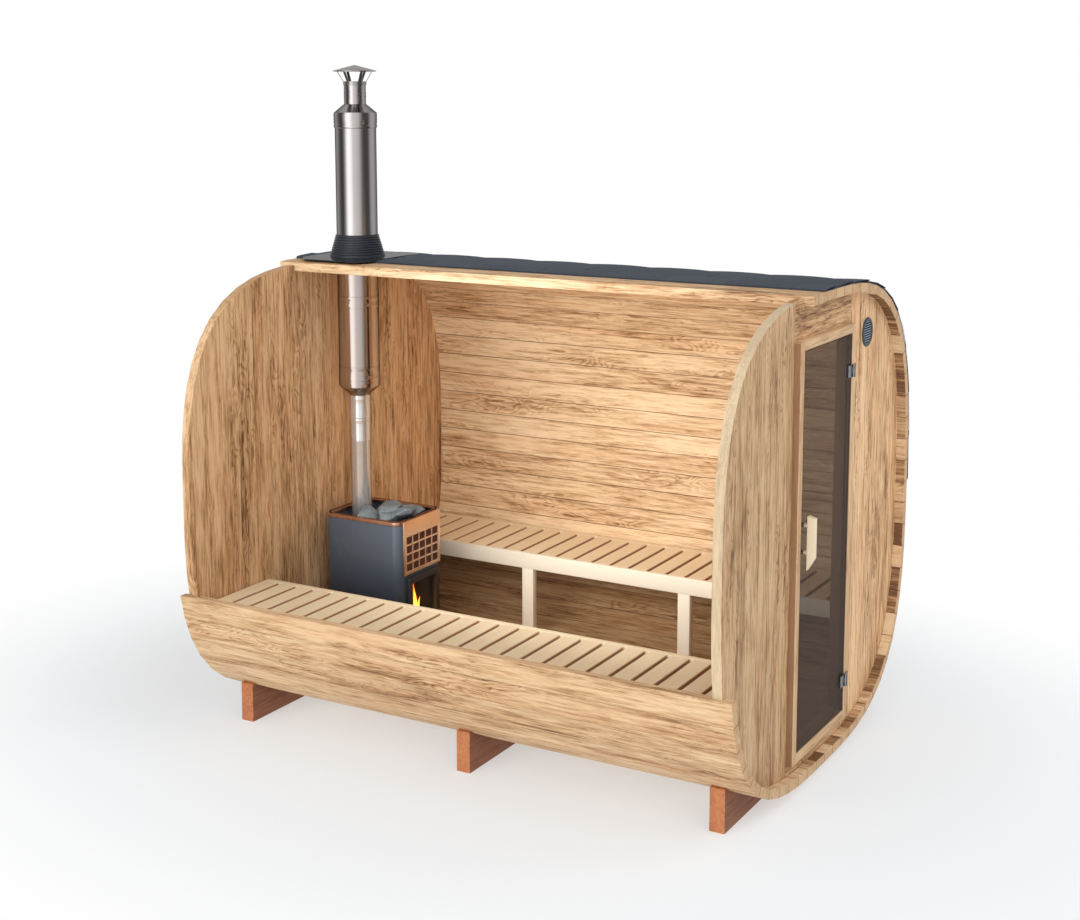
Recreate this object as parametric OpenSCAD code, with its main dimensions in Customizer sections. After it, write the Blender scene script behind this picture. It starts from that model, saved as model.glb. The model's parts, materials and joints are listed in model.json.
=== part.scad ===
// Cube sauna: a rounded-square shell of lengthwise staves on three cradle feet,
// with its front opened up between the bench and the roof edge.
// X runs along the shell, the glass door is at the +X end, the closed back is at +Y.
// The origin lies on the ground, under the middle of the middle foot.

/* [Shell] */
// Length of the staves
shell_l = 2950; // [2500:10:3600]
// Outside width of the shell
shell_w = 2280; // [2150:10:2740]
// Outside height of the shell
shell_h = 2244; // [2150:10:2700]
// Squareness of the section (2 is an ellipse, more is squarer)
squareness = 3.1; // [2.8:0.1:4]
// Number of staves round the whole section
stave_count = 64; // [48:8:80]
// Thickness of a stave
stave_t = 45; // [34:1:56]
// Height of the lowest stave above the ground
ground_gap = 47; // [30:1:80]

/* [Opened front] */
// Height of the top edge of the low front
front_sill_h = 705; // [600:5:800]
// How far the roof reaches in front of the middle
roof_front = 276; // [200:2:400]

/* [End walls] */
// Thickness of an end wall
wall_t = 45; // [35:1:60]
// Overhang of the shell past an end wall
wall_inset = 48; // [30:1:90]
// Depth of the groove in the staves that holds an end wall
groove_d = 29; // [10:1:32]

/* [Feet] */
// Thickness of a cradle foot
foot_t = 73; // [50:1:100]
// Height of a foot at its ends
foot_h = 200; // [150:5:240]
// Length of a foot
foot_l = 1686; // [1400:2:1900]
// Spacing of the feet
foot_pitch = 1298; // [900:2:1350]

/* [Door] */
// Width over the door frame
door_w = 717; // [640:1:800]
// Height over the door frame
door_h = 1935; // [1700:5:1980]
// Height of the frame's lower edge above the ground
door_z = 155; // [140:1:200]
// Distance of the door's middle line from the shell's
door_y = -18; // [-120:1:60]
// Face width of the frame
frame_w = 50; // [40:1:70]
// How far the frame stands proud of the wall
frame_proud = 30; // [15:1:40]
// Thickness of the glass
glass_t = 8; // [6:1:12]
// Gap between the glass and the frame
glass_gap = 6; // [5:0.5:8]
// Depth of the grip of the door handle
grip_d = 35; // [25:1:50]
// Length of the door handle
grip_l = 250; // [160:2:320]
// Radius of the hinge barrel
barrel_r = 8; // [7:0.5:10]

/* [Vent] */
// Radius of the vent's rim
vent_r = 72; // [50:1:90]
// Height of the vent above the ground
vent_z = 2016; // [1600:2:2040]
// Distance of the vent from the shell's middle line
vent_y = 578; // [470:2:640]

/* [Floor and benches] */
// Height of the floor above the ground
floor_z = 150; // [140:1:170]
// Thickness of the floor boards
floor_t = 27; // [18:1:27]
// Height of the bench tops above the ground
bench_z = 660; // [560:5:680]
// Depth of the slatted top of a bench
bench_d = 495; // [400:5:540]
// Thickness of a slat
slat_t = 28; // [20:1:34]
// Number of slats in a bench
slat_count = 25; // [20:1:30]
// Gap between two slats
slat_gap = 18; // [8:1:24]
// Width of the closing strip at one edge of a bench
strip_w = 42; // [30:1:60]
// Height of the front board of a bench
fascia_h = 88; // [70:1:110]
// Thickness of the front board of a bench
fascia_t = 22; // [16:1:28]
// Width of a bench post
post_w = 69; // [45:1:90]
// Depth of a bench post and of a bench rail
rail_t = 42; // [30:1:50]
// Spacing of the two bench posts
post_pitch = 943; // [700:1:1200]
// Distance of the posts' middle from the shell's
post_shift = 27; // [-60:1:60]

/* [Stove] */
// Length of the stove, front to back
stove_l = 485; // [420:5:560]
// Width of the stove
stove_w = 400; // [360:5:440]
// Height of the stove's rim above the floor
stove_h = 795; // [700:5:860]
// Gap between the stove and the closed end wall
stove_gap = 102; // [80:1:160]
// Radius of the stove's upright edges
stove_r = 50; // [30:1:60]
// Thickness of the stove's casing
casing_t = 8; // [5:1:10]
// Height of the stove's legs
leg_h = 50; // [30:1:80]
// Height of the firebox with its door
firebox_h = 440; // [380:5:470]

/* [Flue] */
// Radius of the pipe on the stove
pipe_r = 54; // [45:1:65]
// Radius of the insulated pipe
flue_r = 108; // [90:1:120]
// Distance of the flue from the back of the stove
flue_back = 102; // [90:1:150]
// Height above the floor at which the insulated pipe starts
flue_start = 1464; // [1300:5:1600]
// Height of the insulated pipe above the shell's top
flue_above = 697; // [400:5:900]
// Wall of the pipes
pipe_t = 4; // [3:0.5:6]

/* [Roof cover] */
// Thickness of the shingle cover
felt_t = 12; // [8:1:16]
// How far the cover reaches in front of the middle
felt_front = 140; // [100:2:200]
// Size of the flashing plate along the shell
plate_l = 430; // [380:5:480]
// Thickness of the flashing plate
plate_t = 4; // [3:0.5:6]

/* [Hidden] */
$fn = 96;
slip = 0.08;                // fit of a pin in its hole
mm_bite = 1;                // how far a cutter runs past a face

axis_z = ground_gap + shell_h / 2;
half_l = shell_l / 2;
wall_out_x = half_l - wall_inset;
wall_in_x = wall_out_x - wall_t;
rim_depth = stave_t - groove_d;
stave_angle = 360 / stave_count;
half_turn = stave_count / 2;
quarter_turn = stave_count / 4;
side_end = round(stave_count * 5 / 64);     // last stave of the flat side
roof_start = round(stave_count * 11 / 64);  // first stave of the flat roof

// ---- section of the shell, in a plane across it, measured from its middle ----
function radius_at(a) =
    pow(pow(abs(cos(a)) * 2 / shell_w, squareness)
        + pow(abs(sin(a)) * 2 / shell_h, squareness), -1 / squareness);
function joint_at(i) = radius_at(i * stave_angle) * [cos(i * stave_angle), sin(i * stave_angle)];
function inward_normal(a, b) = [a[1] - b[1], b[0] - a[0]] / norm(b - a);
function mitre(n1, n2) = (n1 + n2) / (1 + n1 * n2);
// A stave joint, moved in from the outer face by a depth.
function joint_in(i, depth) = joint_at(i) + depth * mitre(
    inward_normal(joint_at(i - 1), joint_at(i)),
    inward_normal(joint_at(i), joint_at(i + 1)));
function section(depth) = [for (i = [0 : stave_count - 1]) joint_in(i, depth)];
function band(first, last, outer, inner) = concat(
    [for (i = [first : last]) joint_in(i, outer)],
    [for (i = [last : -1 : first]) joint_in(i, inner)]);
// Half width of the section at a height above the ground, for a stave depth.
function half_width(z, depth) = let (u = min(1, abs(z - axis_z) / (shell_h / 2 - depth)))
    (shell_w / 2 - depth) * pow(1 - pow(u, squareness), 1 / squareness);

// Runs an outline given across the shell along it, from x0 to x1.
module lengthwise(x0, x1) {
    translate([x0, 0, axis_z]) rotate([90, 0, 90]) linear_extrude(x1 - x0) children();
}
// A box from its lowest and highest corners.
module block(low, high) { translate(low) cube(high - low); }
module rounded_plate(l, w, r) {
    translate([r, r - w / 2]) square([l - 2 * r, w - 2 * r]);
    for (x = [r, l - r]) for (y = [r - w / 2, w / 2 - r]) translate([x, y]) circle(r);
    translate([0, r - w / 2]) square([l, w - 2 * r]);
    translate([r, -w / 2]) square([l - 2 * r, w]);
}
module tube(r_out, r_in, z0, z1) {
    translate([0, 0, z0]) difference() {
        cylinder(r = r_out, h = z1 - z0);
        translate([0, 0, -mm_bite]) cylinder(r = r_in, h = z1 - z0 + 2 * mm_bite);
    }
}

// ---- feet ----
module foot(x) {
    color("sienna") difference() {
        block([x - foot_t / 2, -foot_l / 2, 0], [x + foot_t / 2, foot_l / 2, foot_h]);
        lengthwise(x - foot_t, x + foot_t) polygon(section(0));
    }
}
module foot_stove_end() { foot(-foot_pitch); }
module foot_middle() { foot(0); }
module foot_door_end() { foot(foot_pitch); }

// ---- shell ----
module wall_slabs() {
    lengthwise(-wall_out_x, -wall_in_x) polygon(section(rim_depth));
    lengthwise(wall_in_x, wall_out_x) polygon(section(rim_depth));
}
module staves(first, last) {
    difference() {
        lengthwise(-half_l, half_l) polygon(band(first, last, 0, stave_t));
        wall_slabs();
    }
}
module shell_floor() { color("burlywood") staves(roof_start - half_turn, -roof_start); }
module shell_low_front() {
    color("burlywood") difference() {
        staves(2 - half_turn, roof_start - half_turn);
        block([-shell_l, -shell_w, front_sill_h], [shell_l, 0, shell_h]);
    }
}
module shell_low_back() { color("burlywood") staves(-roof_start, -side_end); }
module shell_back() { color("burlywood") staves(-side_end, side_end); }
module shell_high_back() { color("burlywood") staves(side_end, roof_start); }
module shell_roof() {
    color("burlywood") difference() {
        staves(roof_start, quarter_turn + side_end);
        block([-shell_l, -shell_w, axis_z], [shell_l, -roof_front, 2 * shell_h]);
        flue_hole();
    }
}

// ---- end walls ----
door_front_y = door_y - door_w / 2;
door_rear_y = door_y + door_w / 2;
door_top_z = door_z + door_h;
module end_wall(x0, x1) { lengthwise(x0, x1) polygon(section(rim_depth)); }
module door_wall_part(low_y, high_y, low_z, high_z) {
    color("burlywood") intersection() {
        end_wall(wall_in_x, wall_out_x);
        block([wall_in_x, low_y, low_z], [wall_out_x, high_y, high_z]);
    }
}
module stove_end_wall() { color("burlywood") end_wall(-wall_out_x, -wall_in_x); }
module door_wall_front() { door_wall_part(-shell_w, door_front_y, 0, 2 * shell_h); }
module door_wall_rear() {
    difference() {
        door_wall_part(door_rear_y, shell_w, 0, 2 * shell_h);
        translate([wall_in_x - mm_bite, vent_y, vent_z]) rotate([0, 90, 0])
            cylinder(r = vent_bore_r, h = wall_t + 2 * mm_bite);
    }
}
module door_wall_head() { door_wall_part(door_front_y, door_rear_y, door_top_z, 2 * shell_h); }
module door_wall_sill() { door_wall_part(door_front_y, door_rear_y, 0, door_z); }

// ---- vent ----
vent_bore_r = vent_r - 12;
vent_lip = 8;
vent_bars = 7;
vent_bar_t = 6;
module vent_grille() {
    color("slategray") {
        translate([wall_out_x, vent_y, vent_z]) rotate([0, 90, 0])
            tube(vent_r, vent_bore_r - 8, 0, vent_lip);
        translate([wall_in_x, vent_y, vent_z]) rotate([0, 90, 0])
            tube(vent_bore_r, vent_bore_r - 8, 0, wall_t);
        intersection() {
            translate([wall_out_x - 2, vent_y, vent_z]) rotate([0, 90, 0])
                cylinder(r = vent_bore_r - 4, h = vent_lip);
            for (i = [0 : vent_bars - 1])
                translate([wall_out_x - 2, vent_y - vent_r,
                    vent_z + (i - (vent_bars - 1) / 2) * 2 * vent_bore_r / vent_bars - vent_bar_t / 2])
                    cube([vent_lip, 2 * vent_r, vent_bar_t]);
        }
    }
}

// ---- door frame ----
frame_out_x = wall_out_x + frame_proud;
glass_out_x = frame_out_x - 2;
glass_in_x = glass_out_x - glass_t;
stop_w = 12;                            // how far the stops reach behind the glass
clear = 5;                              // running clearance of a door
stop_x = glass_in_x - clear;
hinge_stop_x = glass_in_x - 14;         // the stop behind the clamps lies further in
open_front_y = door_front_y + frame_w;
open_rear_y = door_rear_y - frame_w;
open_low_z = door_z + frame_w - 5;
open_high_z = door_top_z - frame_w + 10;
module door_jamb_front() {
    color("peru") {
        block([wall_in_x, door_front_y, door_z], [frame_out_x, open_front_y, door_top_z]);
        block([wall_in_x, open_front_y, open_low_z], [stop_x, open_front_y + stop_w, open_high_z]);
    }
}
module door_jamb_rear() {
    color("peru") {
        block([wall_in_x, open_rear_y, door_z], [frame_out_x, door_rear_y, door_top_z]);
        block([wall_in_x, open_rear_y - stop_w, open_low_z], [hinge_stop_x, open_rear_y, open_high_z]);
    }
}
module door_rail(low_z, high_z, stop_low, stop_high) {
    color("peru") {
        block([wall_in_x, open_front_y, low_z], [frame_out_x, open_rear_y, high_z]);
        block([wall_in_x, open_front_y + stop_w, stop_low], [stop_x, open_rear_y - stop_w, stop_high]);
    }
}
module door_head() { door_rail(open_high_z, door_top_z, open_high_z - stop_w, open_high_z); }
module door_sill() { door_rail(door_z, open_low_z, open_low_z, open_low_z + stop_w); }

// ---- glass door and its hinges ----
glass_front_y = open_front_y + glass_gap;
glass_rear_y = open_rear_y - glass_gap;
glass_low_z = open_low_z + glass_gap;
glass_high_z = open_high_z - glass_gap;
pin_x = frame_out_x + 10;
pin_y = open_rear_y;
pin_r = 4;
clamp_w = 46;
clamp_h = 56;
clamp_t = 8;
clamp_inset = 152;                      // from the glass's ends to a clamp's middle
barrel_l = 30;
knuckle_l = 14;
knuckle_gap = 1;
clamp_heights = [glass_low_z + clamp_inset, glass_high_z - clamp_inset - 20];
module door_glass() {
    color("dimgray", 0.5) difference() {
        block([glass_in_x, glass_front_y, glass_low_z], [glass_out_x, glass_rear_y, glass_high_z]);
        for (z = clamp_heights) translate([glass_in_x - mm_bite, clamp_y, z]) rotate([0, 90, 0])
            cylinder(r = bolt_r, h = glass_t + 2 * mm_bite);
        for (z = grip_bolt_z) translate([glass_in_x - mm_bite, grip_y, z]) rotate([0, 90, 0])
            cylinder(r = bolt_r, h = glass_t + 2 * mm_bite);
    }
}
bolt_r = 6;
clamp_y = glass_rear_y - clamp_w / 2;
knuckle_room = 4;                       // how far the outer plate stops short of the glass's edge
// One clamp: a plate on each face of the glass, the bolt between them and the barrel.
module clamp(z) {
    plate_y = glass_rear_y - knuckle_room;
    block([glass_out_x, clamp_y - clamp_w / 2, z - clamp_h / 2],
        [glass_out_x + clamp_t, plate_y, z + clamp_h / 2]);
    block([glass_in_x - clamp_t, clamp_y - clamp_w / 2, z - clamp_h / 2],
        [glass_in_x, glass_rear_y, z + clamp_h / 2]);
    translate([glass_in_x, clamp_y, z]) rotate([0, 90, 0]) cylinder(r = bolt_r, h = glass_t);
    difference() {
        union() {
            block([glass_out_x + 3, plate_y - mm_bite, z - barrel_l / 2],
                [glass_out_x + clamp_t, pin_y, z + barrel_l / 2]);
            translate([pin_x, pin_y, z - barrel_l / 2]) cylinder(r = barrel_r, h = barrel_l);
        }
        translate([pin_x, pin_y, z - barrel_l]) cylinder(r = pin_r + slip, h = 2 * barrel_l);
    }
}
module door_clamps() { color("silver") for (z = clamp_heights) clamp(z); }
// The fixed side of a hinge: a plate on the frame, two knuckles and the pin.
module bracket(z) {
    reach = barrel_l / 2 + knuckle_gap;
    block([frame_out_x, pin_y + 10, z - reach - knuckle_l],
        [frame_out_x + 4, door_rear_y - 8, z + reach + knuckle_l]);
    for (low = [z - reach - knuckle_l, z + reach]) {
        translate([pin_x, pin_y, low]) cylinder(r = barrel_r, h = knuckle_l);
        block([frame_out_x, pin_y + 2, low], [frame_out_x + 4, pin_y + 12, low + knuckle_l]);
        block([frame_out_x, pin_y, low], [pin_x, pin_y + 6, low + knuckle_l]);
    }
    translate([pin_x, pin_y, z - reach]) cylinder(r = pin_r, h = 2 * reach);
}
module hinge_brackets() { color("silver") for (z = clamp_heights) bracket(z); }

grip_w = 30;
grip_stand = 18;                        // how far the grip stands off the glass
grip_y = glass_front_y + 40;
grip_z = 1178;
grip_bolt_z = [grip_z - grip_l / 2 + 80, grip_z + grip_l / 2 - 45];
grip_slope = 58;                        // rise of the sloped lower end
grip_ease = 10;                         // drop of the eased upper end
// Side outline of a grip: out from the glass, and up.
module grip_outline() {
    polygon([[grip_stand, -grip_l / 2], [grip_stand + grip_d, grip_slope - grip_l / 2],
        [grip_stand + grip_d, grip_l / 2 - grip_ease], [grip_stand, grip_l / 2]]);
}
module grip() {
    translate([0, grip_w / 2, 0]) rotate([90, 0, 0]) linear_extrude(grip_w) grip_outline();
    for (z = grip_bolt_z) translate([0, 0, z - grip_z]) rotate([0, 90, 0])
        cylinder(r = 10, h = grip_stand + mm_bite);
}
module door_handle() {
    color("wheat") {
        translate([glass_out_x, grip_y, grip_z]) grip();
        translate([glass_in_x, grip_y, grip_z]) mirror([1, 0, 0]) grip();
        for (z = grip_bolt_z) translate([glass_in_x, grip_y, z]) rotate([0, 90, 0])
            cylinder(r = bolt_r, h = glass_t);
    }
}

// ---- floor ----
module floor_deck() {
    color("tan") intersection() {
        block([-wall_in_x, -shell_w, floor_z - floor_t], [wall_in_x, shell_w, floor_z]);
        lengthwise(-wall_in_x, wall_in_x) polygon(section(stave_t));
    }
}

// ---- benches ----
bench_gap = 6;                          // between a bench and the staves or an end wall
bench_x = wall_in_x - bench_gap;
bench_back_y = half_width(bench_z - slat_t, stave_t) - bench_gap;
slat_pitch = (2 * bench_x + slat_gap) / slat_count;
slat_w = slat_pitch - slat_gap;
front_bench_y = -bench_back_y;          // outer edge of the front bench's top
back_bench_y = bench_back_y - 14 - bench_d;
back_fascia_y = back_bench_y - fascia_t;
front_fascia_y = front_bench_y + bench_d - fascia_t;
// A slatted top: boards across, let into a scalloped strip that closes the +Y edge.
module slatted_top(y0) {
    strip_y = y0 + bench_d - strip_w;
    for (i = [0 : slat_count - 1])
        block([-bench_x + i * slat_pitch, y0, bench_z - slat_t],
            [-bench_x + i * slat_pitch + slat_w, strip_y + mm_bite, bench_z]);
    difference() {
        block([-bench_x, strip_y, bench_z - slat_t], [bench_x, y0 + bench_d, bench_z]);
        for (i = [1 : slat_count - 1])
            translate([-bench_x + i * slat_pitch - slat_gap / 2, strip_y, bench_z - slat_t - mm_bite])
                cylinder(r = slat_gap / 2, h = slat_t + 2 * mm_bite);
    }
}
module fascia(y0, top_z) {
    block([-bench_x, y0, bench_z - fascia_h], [bench_x, y0 + fascia_t, top_z]);
}
rail_h = fascia_h - slat_t;
// Rails under the top, and the two posts on the room side, cut to fit inside the staves.
module bench_frame(rail_ys, post_y) {
    intersection() {
        lengthwise(-wall_in_x, wall_in_x) polygon(section(stave_t));
        union() {
            for (y = rail_ys) block([-bench_x, y, bench_z - slat_t - rail_h],
                [bench_x, y + rail_t, bench_z - slat_t]);
            for (x = [post_shift - post_pitch / 2, post_shift + post_pitch / 2])
                block([x - post_w / 2, post_y, floor_z],
                    [x + post_w / 2, post_y + rail_t, bench_z - fascia_h]);
        }
    }
}
wall_rail_y = half_width(bench_z - fascia_h, stave_t) - bench_gap - rail_t;
module front_bench_slats() { color("wheat") slatted_top(front_bench_y); }
module front_bench_fascia() { color("cornsilk") fascia(front_fascia_y, bench_z - slat_t); }
module front_bench_frame() {
    color("cornsilk") bench_frame([-wall_rail_y - rail_t, front_fascia_y - rail_t],
        front_bench_y + bench_d - rail_t);
}
module back_bench_slats() { color("wheat") slatted_top(back_bench_y); }
module back_bench_fascia() { color("cornsilk") fascia(back_fascia_y, bench_z); }
module back_bench_frame() {
    color("cornsilk") bench_frame([wall_rail_y, back_bench_y], back_fascia_y);
}

// ---- stove ----
stove_back_x = stove_gap - wall_in_x;
stove_front_x = stove_back_x + stove_l;
stove_low_z = floor_z + leg_h;
stove_rim_z = floor_z + stove_h;
rim_h = 20;
rim_w = 28;
firebox_top_z = stove_low_z + firebox_h;
lug_room = 8;                           // from the stove door's edge to its pin
stove_door_w = stove_w - 2 * stove_r - 2 * lug_room;
door_open_w = stove_door_w - 50;
door_low_z = stove_low_z + 40;
door_high_z = firebox_top_z - 2;
stove_open_low_z = door_low_z + 25;
stove_open_high_z = door_high_z - 25;
well_open_low_z = firebox_top_z + 28;
well_open_high_z = stove_rim_z - rim_h - 28;
lug_y = stove_door_w / 2 + lug_room;
stove_pin_x = stove_front_x + clear + 7;
lug_inset = 70;                         // from the stove door's ends to a lug's middle
lug_heights = [door_low_z + lug_inset, door_high_z - lug_inset];
leg_r = 18;
front_cut = 20;                         // reach of a cutter on each side of the stove's front
module casing_shape(inset) {
    translate([stove_back_x + inset, 0])
        rounded_plate(stove_l - 2 * inset, stove_w - 2 * inset, stove_r - inset);
}
module stove_casing() {
    color("dimgray") {
        difference() {
            translate([0, 0, stove_low_z]) linear_extrude(stove_rim_z - rim_h - stove_low_z)
                casing_shape(0);
            translate([0, 0, stove_low_z + casing_t]) linear_extrude(stove_h) casing_shape(casing_t);
            for (z = [[stove_open_low_z, stove_open_high_z], [well_open_low_z, well_open_high_z]])
                block([stove_front_x - front_cut, -door_open_w / 2, z[0]],
                    [stove_front_x + front_cut, door_open_w / 2, z[1]]);
        }
        for (x = [stove_back_x + stove_r, stove_front_x - stove_r])
            for (y = [stove_r - stove_w / 2, stove_w / 2 - stove_r])
                translate([x, y, floor_z]) cylinder(r = leg_r, h = leg_h + mm_bite);
        for (z = lug_heights) stove_lug(z);
    }
}
lug_l = 12;
lug_r = 6;
lug_web = 3;                            // half thickness of a lug's web
stove_pin_r = 3;
// A lug with its pin, below and above the door's barrel.
module stove_lug(z) {
    reach = barrel_l / 2 + knuckle_gap;
    for (low = [z - reach - lug_l, z + reach]) {
        translate([stove_pin_x, lug_y, low]) cylinder(r = lug_r, h = lug_l);
        block([stove_front_x - casing_t / 2, lug_y - lug_web, low],
            [stove_pin_x, lug_y + lug_web, low + lug_l]);
    }
    translate([stove_pin_x, lug_y, z - reach]) cylinder(r = stove_pin_r, h = 2 * reach);
}
firebox_back_x = stove_back_x + 24;
firebox_w = stove_w - 2 * stove_r;
// The firebox, under a plate that closes the casing and carries the stones.
module stove_firebox() {
    color("black") difference() {
        union() {
            block([firebox_back_x, -firebox_w / 2, stove_low_z + casing_t],
                [stove_front_x - casing_t, firebox_w / 2, firebox_top_z]);
            translate([0, 0, firebox_top_z - casing_t]) linear_extrude(casing_t)
                casing_shape(casing_t);
        }
        block([firebox_back_x + casing_t, casing_t - firebox_w / 2, stove_low_z + 2 * casing_t],
            [stove_front_x, firebox_w / 2 - casing_t, firebox_top_z - casing_t]);
    }
}
module stove_rim() {
    color("chocolate") translate([0, 0, stove_rim_z - rim_h]) difference() {
        linear_extrude(rim_h) casing_shape(0);
        translate([0, 0, -mm_bite]) linear_extrude(rim_h + 2 * mm_bite) casing_shape(rim_w);
    }
}
grille_t = 8;
grille_w = stove_w - 2 * stove_r + 40;
grille_low_z = firebox_top_z + 16;
grille_rows = 4;
grille_cols = 5;
grille_bar = 9;
grille_side = 20;                       // solid edge beside the windows
grille_foot = 18;                       // solid edge under the windows
grille_blank = 95;                      // solid stretch over the windows, with that edge
// A copper plate with rows of plain windows in its lower part.
module stove_grille() {
    window_h = (stove_rim_z - grille_low_z - grille_blank) / grille_rows;
    window_w = (grille_w - 2 * grille_side) / grille_cols;
    color("chocolate") difference() {
        block([stove_front_x, -grille_w / 2, grille_low_z],
            [stove_front_x + grille_t, grille_w / 2, stove_rim_z]);
        for (row = [0 : grille_rows - 1]) for (col = [0 : grille_cols - 1])
            block([stove_front_x - mm_bite,
                    grille_side - grille_w / 2 + col * window_w + grille_bar / 2,
                    grille_low_z + grille_foot + row * window_h],
                [stove_front_x + grille_t + mm_bite,
                    grille_side - grille_w / 2 + (col + 1) * window_w - grille_bar / 2,
                    grille_low_z + grille_foot + (row + 1) * window_h - grille_bar]);
    }
}
stove_door_x = stove_front_x + clear;
stove_door_t = 14;
stove_door_rim = 34;
pull_l = 100;
pull_r = 8;
pull_stand = 25;                        // from the stove door's face to the pull's middle
pull_foot_r = 5;
module stove_door() {
    color("black") {
        difference() {
            block([stove_door_x, -stove_door_w / 2, door_low_z],
                [stove_door_x + stove_door_t, stove_door_w / 2, door_high_z]);
            block([stove_door_x - mm_bite, stove_door_rim - stove_door_w / 2,
                    door_low_z + stove_door_rim],
                [stove_door_x + stove_door_t + mm_bite, stove_door_w / 2 - stove_door_rim,
                    door_high_z - stove_door_rim]);
        }
        for (z = lug_heights) difference() {
            union() {
                translate([stove_pin_x, lug_y, z - barrel_l / 2]) cylinder(r = lug_r, h = barrel_l);
                block([stove_pin_x - lug_web, stove_door_w / 2 - mm_bite, z - barrel_l / 2],
                    [stove_pin_x + lug_web, lug_y, z + barrel_l / 2]);
            }
            translate([stove_pin_x, lug_y, z - barrel_l])
                cylinder(r = stove_pin_r + slip, h = 2 * barrel_l);
        }
        pull_y = stove_door_rim / 2 - stove_door_w / 2;
        pull_z = (door_low_z + door_high_z) / 2;
        for (z = [pull_z - 0.35 * pull_l, pull_z + 0.35 * pull_l])
            translate([stove_door_x + stove_door_t - mm_bite, pull_y, z]) rotate([0, 90, 0])
                cylinder(r = pull_foot_r, h = pull_stand + mm_bite);
        translate([stove_door_x + stove_door_t + pull_stand, pull_y, pull_z - pull_l / 2])
            cylinder(r = pull_r, h = pull_l);
    }
}
module stove_door_glass() {
    color("gray", 0.4) block([stove_door_x + 4, stove_door_rim - stove_door_w / 2,
            door_low_z + stove_door_rim],
        [stove_door_x + 8, stove_door_w / 2 - stove_door_rim, door_high_z - stove_door_rim]);
}
stone_gap = 3;
heap_rise = 16;                         // how far the heap stands above the rim
heap_side = 60;                         // from the stove's sides to the heap's top
heap_end = 20;                          // from the pipe to the heap's top
module stove_stones() {
    color("slategray") difference() {
        union() {
            translate([0, 0, firebox_top_z]) linear_extrude(stove_rim_z - rim_h - firebox_top_z)
                casing_shape(rim_w + stone_gap);
            block([flue_x + pipe_r + heap_end, heap_side - stove_w / 2, stove_rim_z - rim_h - mm_bite],
                [stove_front_x - rim_w - 2 * heap_end, stove_w / 2 - heap_side,
                    stove_rim_z + heap_rise]);
        }
        translate([flue_x, 0, floor_z]) cylinder(r = pipe_r + stone_gap, h = 2 * stove_h);
    }
}

// ---- flue ----
flue_x = stove_back_x + flue_back;
reducer_h = 52;
flue_start_z = floor_z + flue_start;
flue_end_z = ground_gap + shell_h + flue_above;
collar_h = 73;
cone_h = 35;
top_pipe_h = 156;
collar_r = flue_r + 5;
cap_r = collar_r;
cap_rise = 210;                         // from the collar to the cap's edge
cap_rim_z = flue_end_z + collar_h + cap_rise;
cap_h = 30;
cap_skin = 3;
module flue_hole() { translate([flue_x, 0, axis_z]) cylinder(r = flue_r + 10, h = shell_h); }
module stove_pipe() {
    color("silver") translate([flue_x, 0, 0])
        tube(pipe_r, pipe_r - pipe_t, firebox_top_z, flue_start_z - reducer_h);
}
module flue_reducer() {
    color("silver") translate([flue_x, 0, flue_start_z - reducer_h]) rotate_extrude() polygon([
        [pipe_r - pipe_t, 0], [pipe_r, 0], [flue_r - pipe_t, reducer_h],
        [flue_r - 4 * pipe_t, reducer_h]]);
}
band_r = flue_r + 2;
band_rows = [[0, 108], [421, 64]];      // height of each joint band above the pipe's start
module flue_pipe() {
    color("silver") translate([flue_x, 0, 0]) {
        tube(flue_r, flue_r - 6 * pipe_t, flue_start_z, flue_end_z);
        for (b = band_rows)
            tube(band_r, flue_r - pipe_t, flue_start_z + b[0], flue_start_z + b[0] + b[1]);
    }
}
// The collar on the insulated pipe, its cone and the open pipe end.
module flue_top() {
    color("silver") translate([flue_x, 0, flue_end_z]) rotate_extrude() polygon([
        [flue_r - 6 * pipe_t, 0], [collar_r, 0], [collar_r, collar_h], [pipe_r + 3, collar_h + cone_h],
        [pipe_r + 3, collar_h + top_pipe_h], [pipe_r - pipe_t, collar_h + top_pipe_h],
        [pipe_r - pipe_t, collar_h + cone_h - 4], [flue_r - 6 * pipe_t, collar_h - 8]]);
}
strut_count = 6;
strut_w = 14;
strut_inset = 20;                       // from the cap's edge to a strut's top
cap_ring_h = 22;
// Height of the middle of the cap's skin at a radius.
function cap_z(r) = cap_rim_z + cap_h * (1 - r / cap_r) - cap_skin / 2;
module rain_cap() {
    foot_z = flue_end_z + collar_h + top_pipe_h;
    strut_r = cap_r - strut_inset;
    color("silver") translate([flue_x, 0, 0]) {
        translate([0, 0, cap_rim_z]) rotate_extrude() polygon([
            [0, cap_h - cap_skin], [cap_r, -cap_skin], [cap_r, 0], [0, cap_h]]);
        tube(pipe_r + 5, pipe_r + 3, foot_z - cap_ring_h, foot_z);
        for (i = [0 : strut_count - 1]) rotate([0, 0, (i + 0.5) * 360 / strut_count])
            translate([0, strut_w / 2, 0]) rotate([90, 0, 0]) linear_extrude(strut_w) polygon([
                [pipe_r + 3, foot_z - 2], [pipe_r + 5.5, foot_z - 2],
                [strut_r, cap_z(strut_r)], [strut_r - 4, cap_z(strut_r - 4)]]);
    }
}

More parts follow.
